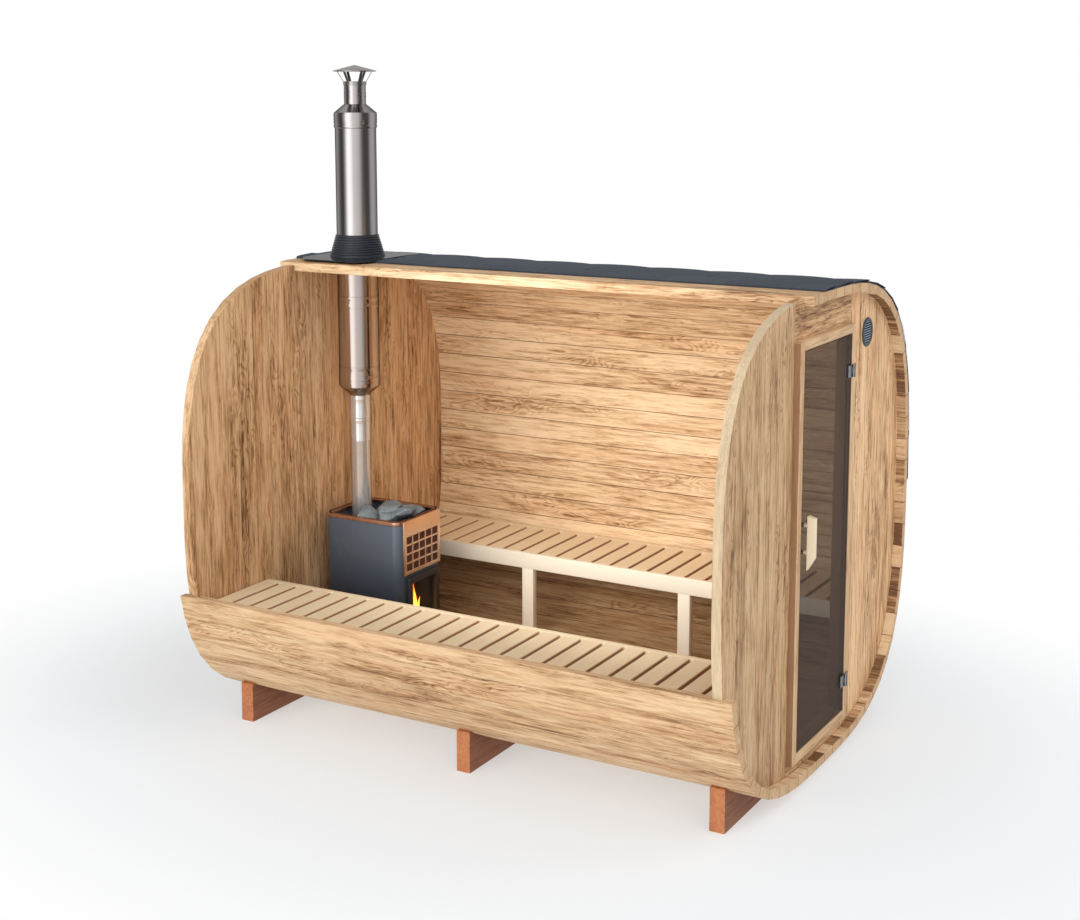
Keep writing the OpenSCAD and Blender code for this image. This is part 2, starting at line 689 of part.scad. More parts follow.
// ---- roof cover, flashing and boot ----
cover_end = 0;                          // stave joint at which the cover ends at the back
module roof_cover() {
    color("darkslategray") difference() {
        lengthwise(-half_l, half_l) polygon(band(cover_end, quarter_turn + side_end, -felt_t, 0));
        block([-shell_l, -shell_w, axis_z], [shell_l, -felt_front, 2 * shell_h]);
        flue_hole();
    }
}
plate_front = 250;
plate_rear = 330;
module flashing_plate() {
    color("black") difference() {
        lengthwise(flue_x - plate_l / 2, flue_x + plate_l / 2)
            polygon(band(roof_start, quarter_turn + side_end, -felt_t - plate_t, -felt_t));
        block([-shell_l, -shell_w, axis_z], [shell_l, -plate_front, 2 * shell_h]);
        block([-shell_l, plate_rear, axis_z], [shell_l, shell_w, 2 * shell_h]);
        flue_hole();
    }
}
boot_ribs = 9;
boot_h = 112;
boot_spread = 32;                       // how much wider the boot is at its foot
rib_d = 4;
boot_z = ground_gap + shell_h + felt_t + plate_t + 4;
module flue_boot() {
    rib_h = boot_h / boot_ribs;
    color("darkslategray") translate([flue_x, 0, 0]) difference() {
        union() {
            translate([0, 0, boot_z]) rotate_extrude() polygon(concat(
                [[flue_r, 0]],
                [for (i = [0 : boot_ribs - 1]) each let (r = flue_r + 4 + boot_spread * (1 - i / boot_ribs))
                    [[r, i * rib_h], [r, (i + 0.45) * rib_h], [r - rib_d, (i + 0.55) * rib_h],
                        [r - rib_d, (i + 0.9) * rib_h]]],
                [[flue_r, boot_h]]));
            translate([0, 0, axis_z])
                cylinder(r = flue_r + 4 + boot_spread, h = boot_z - axis_z + mm_bite);
        }
        translate([-flue_x, 0, 0]) lengthwise(-half_l, half_l) polygon(section(-felt_t - plate_t));
        cylinder(r = flue_r, h = 2 * shell_h);
    }
}

foot_stove_end();
foot_middle();
foot_door_end();
shell_floor();
shell_low_front();
shell_low_back();
shell_back();
shell_high_back();
shell_roof();
stove_end_wall();
door_wall_front();
door_wall_rear();
door_wall_head();
door_wall_sill();
door_jamb_front();
door_jamb_rear();
door_head();
door_sill();
door_glass();
door_handle();
door_clamps();
hinge_brackets();
vent_grille();
floor_deck();
front_bench_slats();
front_bench_fascia();
front_bench_frame();
back_bench_slats();
back_bench_fascia();
back_bench_frame();
stove_casing();
stove_firebox();
stove_rim();
stove_grille();
stove_door();
stove_door_glass();
stove_stones();
stove_pipe();
flue_reducer();
flue_pipe();
flue_top();
rain_cap();
flue_boot();
flashing_plate();
roof_cover();
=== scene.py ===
import json
import math
import random

import bmesh
import bpy
from mathutils import Matrix, Vector, noise

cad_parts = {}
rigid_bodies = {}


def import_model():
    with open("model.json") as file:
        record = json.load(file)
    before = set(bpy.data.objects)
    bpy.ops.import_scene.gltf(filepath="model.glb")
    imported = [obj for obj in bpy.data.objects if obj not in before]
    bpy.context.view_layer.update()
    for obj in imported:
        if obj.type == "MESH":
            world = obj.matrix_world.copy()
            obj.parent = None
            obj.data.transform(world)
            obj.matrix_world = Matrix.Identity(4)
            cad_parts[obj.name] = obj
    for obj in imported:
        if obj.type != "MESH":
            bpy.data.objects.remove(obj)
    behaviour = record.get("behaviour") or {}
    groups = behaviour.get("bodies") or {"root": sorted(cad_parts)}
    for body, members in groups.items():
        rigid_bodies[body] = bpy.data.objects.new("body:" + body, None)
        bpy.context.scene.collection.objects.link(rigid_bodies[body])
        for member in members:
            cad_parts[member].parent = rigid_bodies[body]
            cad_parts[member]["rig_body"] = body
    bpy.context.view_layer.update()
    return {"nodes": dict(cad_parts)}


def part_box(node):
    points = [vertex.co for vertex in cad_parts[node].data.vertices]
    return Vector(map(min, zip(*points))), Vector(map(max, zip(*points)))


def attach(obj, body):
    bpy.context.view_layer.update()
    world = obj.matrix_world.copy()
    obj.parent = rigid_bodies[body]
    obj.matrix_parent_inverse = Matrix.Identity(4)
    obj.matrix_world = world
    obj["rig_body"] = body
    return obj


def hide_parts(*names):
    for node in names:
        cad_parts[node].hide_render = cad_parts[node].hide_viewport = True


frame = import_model()
print("frame loaded")

# sizes in metres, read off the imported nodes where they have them
hut = {
    "staveCount": 64,
    "squareness": 3.1,  # 2 is an ellipse, more is squarer
    "staveThick": 0.045,
    "rimDepth": 0.016,  # from the staves' outer face to the end walls' rim
    "width": 2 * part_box("shell_back")[1].y,
    "low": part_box("shell_floor")[0].z,
    "high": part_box("shell_roof")[1].z,
    "halfLength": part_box("shell_back")[1].x,
}
hut["height"] = hut["high"] - hut["low"]
hut["middle"] = (hut["high"] + hut["low"]) / 2
flueX = sum(corner.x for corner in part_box("stove_pipe")) / 2
roofHeights = (2.2, 2.3)  # where the flue passes the roof


# node trees
def findSocket(sockets, key):
    if isinstance(key, int):
        return sockets[key]
    return next(s for s in sockets if key in (s.identifier, s.name) and s.enabled)


class Wire:  # a socket that can stand in a sum
    def __init__(self, tree, socket):
        self.tree, self.socket = tree, socket

    def maths(self, operation, *others):
        return self.tree.maths(operation, self, *others)

    def other(self, name):  # another output of the same node
        return Wire(self.tree, findSocket(self.socket.node.outputs, name))

    def __add__(self, value):
        return self.tree.maths("ADD", self, value)

    def __radd__(self, value):
        return self.tree.maths("ADD", value, self)

    def __sub__(self, value):
        return self.tree.maths("SUBTRACT", self, value)

    def __rsub__(self, value):
        return self.tree.maths("SUBTRACT", value, self)

    def __mul__(self, value):
        return self.tree.maths("MULTIPLY", self, value)

    def __rmul__(self, value):
        return self.tree.maths("MULTIPLY", value, self)

    def __truediv__(self, value):
        return self.tree.maths("DIVIDE", self, value)

    def __rtruediv__(self, value):
        return self.tree.maths("DIVIDE", value, self)

    def __pow__(self, value):
        return self.tree.maths("POWER", self, value)


class Tree:
    def __init__(self, nodeTree):
        self.nodeTree = nodeTree

    def make(self, kind, settings=None, inputs=None, output=0):
        node = self.nodeTree.nodes.new(kind)
        for name, value in (settings or {}).items():
            if name == "stops":
                fillRamp(node.color_ramp, value)
            else:
                setattr(node, name, value)
        for key, value in (inputs or {}).items():
            self.feed(findSocket(node.inputs, key), value)
        return Wire(self, findSocket(node.outputs, output) if len(node.outputs) else None)

    def feed(self, socket, value):
        if isinstance(value, Wire):
            self.nodeTree.links.new(value.socket, socket)
        else:
            socket.default_value = value

    def maths(self, operation, *values):
        return self.make("ShaderNodeMath", {"operation": operation}, dict(enumerate(values)))

    def vector(self, x, y, z):
        return self.make("ShaderNodeCombineXYZ", inputs={0: x, 1: y, 2: z})

    def split(self, vector):
        x = self.make("ShaderNodeSeparateXYZ", inputs={0: vector}, output="X")
        return x, x.other("Y"), x.other("Z")

    def noise(self, vector, scale=1.0, detail=2.0, rough=0.5):
        return self.make("ShaderNodeTexNoise", {"noise_dimensions": "3D"},
                         {"Vector": vector, "Scale": scale, "Detail": detail, "Roughness": rough})

    def step(self, value, low, high):  # 0 below low, 1 above high, smooth between
        return self.make("ShaderNodeMapRange", {"interpolation_type": "SMOOTHSTEP"},
                         {"Value": value, "From Min": low, "From Max": high})

    def ramp(self, value, *stops):
        return self.make("ShaderNodeValToRGB", {"stops": stops}, {"Fac": value})

    def mix(self, share, first, second, blend="MIX"):
        return self.make("ShaderNodeMix", {"data_type": "RGBA", "blend_type": blend},
                         {"Factor_Float": share, "A_Color": first, "B_Color": second},
                         output="Result_Color")

    def tinted(self, share, colour, tint):
        return self.mix(share, colour, self.mix(1.0, colour, (*tint, 1), "MULTIPLY"))

    def attribute(self, name):
        return self.make("ShaderNodeAttribute", {"attribute_name": name}, output="Fac")

    def bump(self, height, distance, strength=1.0):
        return self.make("ShaderNodeBump", inputs={"Height": height, "Distance": distance,
                                                   "Strength": strength})


def fillRamp(ramp, stops):
    while len(ramp.elements) < len(stops):
        ramp.elements.new(1.0)
    for element, (place, colour) in zip(ramp.elements, stops):
        element.position = place
        element.color = (*colour, 1.0)


# section of the shell; the same sums serve numbers and sockets
def either(value, operation, plain):  # the same step on a socket or a number
    return value.maths(operation) if isinstance(value, Wire) else plain(value)


def jointPoint(index):  # outer end of a stave joint, across and up
    angle = index * (math.tau / hut["staveCount"])
    across, up = either(angle, "COSINE", math.cos), either(angle, "SINE", math.sin)
    power = hut["squareness"]
    reach = ((either(across, "ABSOLUTE", abs) * (2 / hut["width"])) ** power
             + (either(up, "ABSOLUTE", abs) * (2 / hut["height"])) ** power) ** (-1 / power)
    return across * reach, up * reach


def inwardNormal(first, second):
    dx, dy = second[0] - first[0], second[1] - first[1]
    length = (dx * dx + dy * dy) ** 0.5
    return (0 - dy) / length, dx / length


def jointIn(points, depth):  # the middle of three joints, moved in along its mitre
    before, after = inwardNormal(*points[:2]), inwardNormal(*points[1:])
    share = depth / (1 + before[0] * after[0] + before[1] * after[1])
    return tuple(points[1][k] + share * (before[k] + after[k]) for k in (0, 1))


def shellPoint(index, part, depth):  # a share of the way from joint index to the next
    points = [jointPoint(index + k) for k in (-1, 0, 1, 2)]
    first, second = jointIn(points[:3], depth), jointIn(points[1:], depth)
    return tuple(first[k] + (second[k] - first[k]) * part for k in (0, 1))


def sectionBlock(depth, x0, x1):  # all that lies that deep inside the shell's outer face
    outline = [shellPoint(k, 0, depth) for k in range(hut["staveCount"])]
    return extruded([(x0, y, z + hut["middle"]) for y, z in outline], (x1 - x0, 0, 0))


# geometry node trees
def newGeometryTree(name, inputs):
    group = bpy.data.node_groups.new(name, "GeometryNodeTree")
    group.interface.new_socket("Geometry", in_out="INPUT", socket_type="NodeSocketGeometry")
    for label, kind in inputs.items():
        group.interface.new_socket(label, in_out="INPUT", socket_type="NodeSocket" + kind)
    group.interface.new_socket("Geometry", in_out="OUTPUT", socket_type="NodeSocketGeometry")
    tree = Tree(group)
    first = tree.make("NodeGroupInput")
    given = {label: first.other(label) for label in ["Geometry", *inputs]}
    return tree, given


def endTree(tree, geometry, material):
    real = tree.make("GeometryNodeRealizeInstances", inputs={"Geometry": geometry})
    done = tree.make("GeometryNodeSetMaterial", inputs={"Geometry": real, "Material": material})
    tree.make("NodeGroupOutput", inputs={"Geometry": done})
    return tree.nodeTree


def repeatTree():  # copies the piece in rows and columns
    tree, given = newGeometryTree("repeatPiece", {
        "Columns": "Int", "Rows": "Int", "Column Step": "Vector", "Row Step": "Vector",
        "Odd Row Shift": "Vector", "Jitter": "Vector", "Seed": "Int", "Material": "Material"})
    columns = given["Columns"]
    index = tree.make("GeometryNodeInputIndex")
    row = (index / columns + 0.0001).maths("FLOOR")
    anyShare = tree.make("FunctionNodeRandomValue", {"data_type": "FLOAT_VECTOR"},
                         {0: (-1, -1, -1), 1: (1, 1, 1), "ID": index, "Seed": given["Seed"]})

    def combined(operation, first, second):
        return tree.make("ShaderNodeVectorMath", {"operation": operation}, {0: first, 1: second})

    place = combined("MULTIPLY", given["Column Step"], index - row * columns)
    parts = {"Row Step": row, "Odd Row Shift": row.maths("MODULO", 2), "Jitter": anyShare}
    for label, amount in parts.items():
        place = combined("ADD", place, combined("MULTIPLY", given[label], amount))
    points = tree.make("GeometryNodePoints", inputs={"Count": columns * given["Rows"]})
    placed = tree.make("GeometryNodeSetPosition", inputs={"Geometry": points, "Position": place})
    copies = tree.make("GeometryNodeInstanceOnPoints", inputs={
        "Points": placed, "Instance": given["Geometry"]})
    return endTree(tree, copies, given["Material"])


def wrapTree():  # bends a flat layout of x, joint number and height
    tree, given = newGeometryTree("wrapOnShell", {
        "First Joint": "Float", "Last Joint": "Float", "Half Length": "Float",
        "Material": "Material"})
    x, joint, height = tree.split(tree.make("GeometryNodeInputPosition"))
    joint = joint.maths("MAXIMUM", given["First Joint"]).maths("MINIMUM", given["Last Joint"])
    x = x.maths("MINIMUM", given["Half Length"]).maths("MAXIMUM", 0 - given["Half Length"])
    index = joint.maths("FLOOR")
    across, up = shellPoint(index, joint - index, 0 - height)
    place = tree.vector(x, across, up + hut["middle"])
    bent = tree.make("GeometryNodeSetPosition", inputs={"Geometry": given["Geometry"],
                                                        "Position": place})
    return endTree(tree, bent, given["Material"])


def ringTree():  # copies the piece along a rounded rectangle
    tree, given = newGeometryTree("followRim", {
        "Length": "Float", "Width": "Float", "Corner": "Float", "Spacing": "Float",
        "Material": "Material"})
    path = tree.make("GeometryNodeCurvePrimitiveQuadrilateral",
                     inputs={"Width": given["Length"], "Height": given["Width"]})
    path = tree.make("GeometryNodeFilletCurve", {"mode": "POLY"},
                     {"Curve": path, "Radius": given["Corner"], "Count": 8})
    points = tree.make("GeometryNodeCurveToPoints", {"mode": "LENGTH"},
                       {"Curve": path, "Length": given["Spacing"]}, output="Points")
    copies = tree.make("GeometryNodeInstanceOnPoints", inputs={
        "Points": points, "Instance": given["Geometry"], "Rotation": points.other("Rotation")})
    return endTree(tree, copies, given["Material"])


trees = {"repeat": repeatTree(), "wrap": wrapTree(), "ring": ringTree()}


def grow(piece, treeName, **sizes):  # runs a tree on a piece and keeps the plain mesh
    group = trees[treeName]
    modifier = piece.modifiers.new(treeName, "NODES")
    modifier.node_group = group
    named = {s.name.replace(" ", "").lower(): s.identifier for s in group.interface.items_tree
             if s.in_out == "INPUT"}
    for name, value in sizes.items():
        modifier[named[name.lower()]] = value
    settle(piece)


def settle(piece):  # applies the modifiers
    bpy.context.view_layer.update()
    graph = bpy.context.evaluated_depsgraph_get()
    mesh = bpy.data.meshes.new_from_object(piece.evaluated_get(graph))
    old = piece.data
    piece.modifiers.clear()
    piece.data = mesh
    mesh.name = piece.name
    bpy.data.meshes.remove(old)


print("node trees ready")


# materials
def newMaterial(name, roughness=0.5, metallic=0.0, fixed=None):
    material = bpy.data.materials.new(name)
    material.use_nodes = True
    shader = material.node_tree.nodes["Principled BSDF"]
    for label, value in {"Roughness": roughness, "Metallic": metallic, **(fixed or {})}.items():
        shader.inputs[label].default_value = value
    tree = Tree(material.node_tree)

    def paint(**inputs):  # links what varies; names have no spaces here
        for name, value in inputs.items():
            label = {"baseColor": "Base Color", "emission": "Emission Color"}.get(name, name.title())
            tree.feed(shader.inputs[label], value)
        return material

    return tree, tree.make("ShaderNodeTexCoord", output="Object"), paint


def shaded(colour, gain=1.0):  # brighter or darker, as a socket takes it
    return (*[min(1.0, gain * part) for part in colour], 1)


woodLooks = {  # pale, middle, dark and darkest colour of the grain
    "stave": {"colours": [(0.82, 0.61, 0.38), (0.65, 0.435, 0.245), (0.42, 0.24, 0.115),
                          (0.17, 0.08, 0.034)],
              "figure": 1.08, "variety": 0.18, "knots": 0.80, "roughness": 0.58, "pastWall": 1.429,
              "underBench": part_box("back_bench_slats")[0].z},
    "wall": {"colours": [(0.74, 0.50, 0.29), (0.565, 0.345, 0.172), (0.34, 0.18, 0.08),
                         (0.13, 0.056, 0.024)],
             "figure": 1.15, "variety": 0.16, "knots": 0.86, "roughness": 0.58},
    "frame": {"colours": [(0.76, 0.53, 0.32), (0.60, 0.39, 0.21), (0.37, 0.20, 0.09), (0.13, 0.055, 0.024)],
              "figure": 0.7, "variety": 0.10, "knots": 0.97, "roughness": 0.5,
              "flank": (1, (0.24, 0.105, 0.045))},
    "foot": {"colours": [(0.68, 0.28, 0.115), (0.52, 0.19, 0.075), (0.32, 0.105, 0.042),
                         (0.12, 0.038, 0.016)],
             "figure": 1.2, "variety": 0.10, "knots": 0.95, "roughness": 0.6,
             "flank": (0, (0.16, 0.070, 0.045))},
    "floor": {"colours": [(0.60, 0.40, 0.22), (0.48, 0.30, 0.155), (0.33, 0.18, 0.08), (0.14, 0.06, 0.022)],
              "figure": 0.8, "variety": 0.16, "knots": 0.90, "roughness": 0.6},
    "bench": {"colours": [(0.88, 0.76, 0.54), (0.82, 0.69, 0.47), (0.69, 0.54, 0.34), (0.38, 0.25, 0.13)],
              "figure": 0.34, "variety": 0.14, "knots": 1.0, "roughness": 0.52, "joint": (0.40, 0.18, 0.08)},
    "fascia": {"colours": [(0.91, 0.83, 0.69), (0.86, 0.77, 0.61), (0.73, 0.61, 0.44), (0.44, 0.32, 0.19)],
               "figure": 0.28, "variety": 0.08, "knots": 1.0, "roughness": 0.5},
    "grip": {"colours": [(0.90, 0.79, 0.60), (0.84, 0.71, 0.51), (0.70, 0.54, 0.35), (0.42, 0.28, 0.15)],
             "figure": 0.3, "variety": 0.05, "knots": 1.0, "roughness": 0.45},
}
wall = woodLooks["wall"]
for name, gain in (("wallFront", 0.88), ("wallRear", 1.17)):  # painted shade on the boards before the door and painted light on those behind it, as darker and brighter copies of the wall wood
    woodLooks[name] = {**wall, "colours": [[gain * part for part in colour] for colour in wall["colours"]]}
woodLooks["wallFront"]["edge"] = (0, (0.72, 0.63, 0.44))
woods = {}


grains = {  # how fine along and across a board, detail, roughness
    "wander": (0.9, 4.0), "bands": (0.7, 9, 3.0, 0.55), "lines": (4.5, 62, 5.0, 0.68),
    "fibres": (9, 230, 2.0, 0.6), "patches": (1.6, 12), "flecks": (16, 130, 3.0, 0.65),
    "rings": (2.4, 9.5), "ringed": (1.1, 8), "ruddy": (0.6, 8)}


def wood(lookName, grain):  # one finish and one direction of the grain
    if (lookName, grain) in woods:
        return woods[lookName, grain]
    look = woodLooks[lookName]
    tree, place, paint = newMaterial(lookName + "Wood" + grain, look["roughness"])
    axes = dict(zip("XYZ", tree.split(place)))
    along = axes.pop(grain)
    across, deep = axes.values()
    board, joint = tree.attribute("board"), tree.attribute("joint")
    normals = tree.split(tree.make("ShaderNodeTexCoord", output="Normal"))
    uneven = 0.0
    if "pastWall" in look:  # inside, past the end walls, the staves differ more in tone
        past = tree.step(along.maths("ABSOLUTE"), look["pastWall"], look["pastWall"] + 0.001)
        outwards = normals[1] * across + normals[2] * (deep - hut["middle"])
        inward, outward = tree.step(0 - outwards, 0.3, 0.5), tree.step(outwards, 0.3, 0.5)
        uneven = past * inward * ((board * 7.3).maths("FRACT") - 0.25)
        # painted shade on the inward faces of the staves below the benches
        below = (1 - past) * inward * (1 - tree.step(deep, look["underBench"] - 0.03, look["underBench"]))
    # every board comes from another part of the log
    along, across, deep = along + board * 43, across + board * 17, deep + board * 9

    def streaks(kind):
        fineAlong, fineAcross, *rest = grains[kind]
        stretched = tree.vector(along * fineAlong, across * fineAcross, deep * fineAcross)
        return tree.noise(stretched, 1.0, *rest)

    def facing(axis, low=0.7, high=0.9):  # 1 on faces square to the axis
        return tree.step(normals[axis].maths("ABSOLUTE"), low, high)

    # here and there a small knot, which the grain runs round
    spots = tree.make("ShaderNodeTexVoronoi", {"feature": "F1"}, {
        "Vector": tree.vector(along * 1.1, across * 6.5, deep * 2.5), "Scale": 1.0}, output="Distance")
    chosen = tree.split(spots.other("Color"))[0].maths("GREATER_THAN", look["knots"])
    swirl = (1 - tree.step(spots, 0.02, 0.42)) * chosen
    heart = (1 - tree.step(spots, 0.02, 0.075)) * chosen
    across = across + (streaks("wander") - 0.5) * 0.030 + swirl * 0.016
    bands = streaks("bands")
    lines = streaks("lines")
    fibres = streaks("fibres")
    patches = tree.step(streaks("patches"), 0.50, 0.66)
    flecks = tree.step(streaks("flecks"), 0.55, 0.66) * (patches * 0.8 + 0.2)
    # arched year rings, which show in places
    ring = (across * 105 + streaks("rings") * 17).maths("FRACT")
    arches = (tree.step(ring, 0.30, 0.88) * (1 - tree.step(ring, 0.90, 1.0))
              * (tree.step(streaks("ringed"), 0.50, 0.64) * 0.85 + 0.15))
    figure = look["figure"]
    tone = (0.26 + (bands - 0.5) * (1.15 * figure) + (lines - 0.5) * (2.0 * figure)
            + (fibres - 0.5) * (0.9 * figure) + (flecks + patches * 0.25) * (0.34 * figure)
            + arches * (0.30 * figure) + (board - 0.5) * look["variety"]
            + (swirl - heart) * 0.10 + heart * 0.55 + uneven)
    endGrain = facing("XYZ".index(grain))
    tone = tone + endGrain * (0.42 - tone) * 0.55
    colours = look["colours"]
    colour = tree.ramp(tone, *zip((0.0, 0.36, 0.68, 1.0), colours))
    # some bands are redder than others
    ruddy = tree.step(streaks("ruddy"), 0.47, 0.66) * (0.45 * figure)
    colour = tree.tinted(ruddy, colour, (0.98, 0.86, 0.80))
    colour = tree.mix(endGrain * 0.28, colour, shaded(colours[2]))
    if "underBench" in look:  # the staves are warmer outside, and painted shade darkens them under the benches
        colour = tree.tinted(outward, colour, (0.93, 0.885, 0.83))
        colour = tree.tinted(below, colour, (0.56, 0.50, 0.43))
    if "edge" in look:  # the faces that run along that axis are paler
        axis, edge = look["edge"]
        colour = tree.mix((1 - facing(axis, 0.2, 0.5)) * 0.5, colour, shaded(edge))
    if "flank" in look:  # painted shade on the faces square to that axis
        axis, flank = look["flank"]
        colour = tree.mix(facing(axis) * 0.75, colour, shaded(flank))
    # painted shade in the joints between boards: their sides and eased edges darken towards the look's joint
    # colour
    gap = look.get("joint", (0.09, 0.040, 0.017))
    colour = tree.mix(tree.step(joint, 0.05, 0.9) * 0.82, colour, shaded(gap))
    height = fibres * 0.5 + lines * 0.4 - flecks * 0.4 - arches * 0.15
    rough = look["roughness"] + (lines - 0.5) * 0.25 + flecks * 0.1
    woods[lookName, grain] = paint(baseColor=colour, roughness=rough, normal=tree.bump(height, 0.0008, 0.5))
    return woods[lookName, grain]


def steel(name, colour, roughness, brushing, smudge=0.12, streak=0.0, heated=None, edge=1.0, metallic=1.0):
    # brushing: how fine the polishing lines are along each axis, streak: how far highlights stretch along Z,
    # then the darker, browner colour painted on it inside the hut as painted shade and painted reflection of
    # the wood, edge: how much it reflects where it curves away
    tree, place, paint = newMaterial(name, roughness, metallic, {
        "Specular Tint": (edge, edge, edge, 1), "Anisotropic": streak, "Anisotropic Rotation": 0.25})
    axes = tree.split(place)
    stretched = tree.vector(*[axis * fine for axis, fine in zip(axes, brushing)])
    lines = tree.noise(stretched, detail=3.0, rough=0.7)
    smear = tree.noise(place, 5.0, 3.0)
    tint = tree.mix(smear, shaded(colour, 0.86), shaded(colour))
    # below the roof, painted shade and painted reflection of the wood
    if heated:
        tint = tree.mix(1 - tree.step(axes[2], *roofHeights), tint, shaded(heated))
    return paint(baseColor=tree.mix(lines * 0.25, tint, shaded(colour, 0.7)),
                 roughness=roughness + (lines - 0.5) * smudge + (smear - 0.5) * smudge,
                 normal=tree.bump(lines, 0.0003, smudge))


def coated(name, colour, roughness, grainSize=260.0, relief=0.0002, wear=0.0, wearColour=(0.3, 0.3, 0.3),
           paler=None):  # between which heights the painted reflection grows from dark to pale
    tree, place, paint = newMaterial(name, roughness)
    grainy = tree.noise(place, grainSize, 3.0, 0.6)
    cloud = tree.noise(place, 4.0, 3.0)
    shade = tree.mix(cloud, shaded(colour, 0.78), shaded(colour, 1.18))
    rub = tree.step(tree.noise(place, 38.0, 4.0, 0.65), 0.62, 0.8) * wear
    shade = tree.mix(rub, shade, shaded(wearColour))
    if paler:
        # painted reflection: dark low down, paler and bluer higher up
        low = tree.mix(0.45, shade, (0.006, 0.007, 0.009, 1))
        high = tree.mix(0.05, shade, (0.75, 0.95, 1.2, 1))
        shade = tree.mix(tree.step(tree.split(place)[2], *paler), low, high)
    return paint(baseColor=tree.mix(grainy * 0.25, shade, shaded(colour, 0.6)),
                 roughness=roughness + (cloud - 0.5) * 0.16 + (grainy - 0.5) * 0.12,
                 normal=tree.bump(grainy, relief, 0.4))


def tintedPane(name, colour, alpha, roughness=0.04):
    tree, place, paint = newMaterial(name, roughness, 0.0, {"IOR": 1.18})
    smear = tree.noise(place, 3.0, 4.0, 0.6)
    haze = tree.step(tree.noise(place, 14.0, 4.0), 0.5, 0.85)
    return paint(baseColor=tree.mix(smear, shaded(colour), shaded(colour, 1.35)),
                 alpha=alpha + haze * 0.03, roughness=roughness + smear * 0.03)


def shingleMaterial():
    tree, place, paint = newMaterial("mineralShingle", 0.86)
    board = tree.attribute("board")
    grit = tree.noise(place, 420.0, 2.0, 0.7)
    speck = tree.step(grit, 0.55, 0.72)
    cloud = tree.noise(place, 7.0, 3.0)
    base = tree.mix(cloud * 0.6 + board * 0.4, (0.030, 0.038, 0.053, 1), (0.062, 0.073, 0.094, 1))
    return paint(baseColor=tree.mix(speck * 0.45, base, (0.15, 0.165, 0.19, 1)),
                 roughness=0.8 + speck * 0.12, normal=tree.bump(grit + cloud * 0.4, 0.0012, 0.6))


def stoneMaterial():
    tree, place, paint = newMaterial("saunaStone", 0.8)
    fine = tree.noise(place, 90.0, 5.0, 0.65)
    cloud = tree.noise(place, 11.0, 4.0, 0.6)
    vein = 1 - tree.step((tree.noise(place, 24.0, 4.0) - 0.5).maths("ABSOLUTE"), 0.0, 0.03)
    shade = tree.ramp(cloud * 0.65 + fine * 0.35, (0.25, (0.07, 0.092, 0.105)),
                      (0.5, (0.175, 0.215, 0.235)), (0.8, (0.34, 0.39, 0.42)))
    # painted shade: the stones' sides and undersides are darker than their tops
    paintedShadeNormalZ = tree.split(tree.make("ShaderNodeTexCoord", output="Normal"))[2]
    shade = tree.mix(tree.step(paintedShadeNormalZ, 0.25, 0.8), tree.mix(0.6, shade, (0.02, 0.024, 0.028, 1)), shade)
    return paint(baseColor=tree.mix(vein * 0.25, shade, (0.50, 0.54, 0.56, 1)),
                 roughness=0.72 + fine * 0.2, normal=tree.bump(fine + cloud, 0.0022, 0.7))


def flameMaterial():
    tree, place, paint = newMaterial("flame", 1.0, 0.0, {"Emission Strength": 5.0})
    low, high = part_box("stove_door_glass")
    height = (tree.split(place)[2] - low.z) / (high.z - low.z)
    lick = tree.noise(tree.vector(*[axis * fine for axis, fine in zip(tree.split(place), (30, 30, 9))]))
    heat = height + (lick - 0.5) * 0.25
    glow = tree.ramp(heat, (0.0, (1.0, 0.70, 0.26)), (0.3, (1.0, 0.56, 0.12)), (0.6, (1.0, 0.34, 0.035)),
                     (1.0, (0.8, 0.14, 0.01)))
    return paint(baseColor=(0.9, 0.35, 0.05, 1), emission=glow, alpha=1 - tree.step(heat, 0.45, 1.05) * 0.75)


def emberMaterial():
    tree, place, paint = newMaterial("charredLog", 0.9, 0.0, {"Emission Strength": 3.0})
    crack = tree.noise(place, 45.0, 4.0, 0.7)
    glow = tree.step(crack, 0.56, 0.7)
    return paint(baseColor=tree.mix(crack, (0.012, 0.009, 0.008, 1), (0.10, 0.065, 0.045, 1)),
                 emission=tree.mix(glow, (0, 0, 0, 1), (1.0, 0.18, 0.02, 1)),
                 normal=tree.bump(crack, 0.006, 0.8))


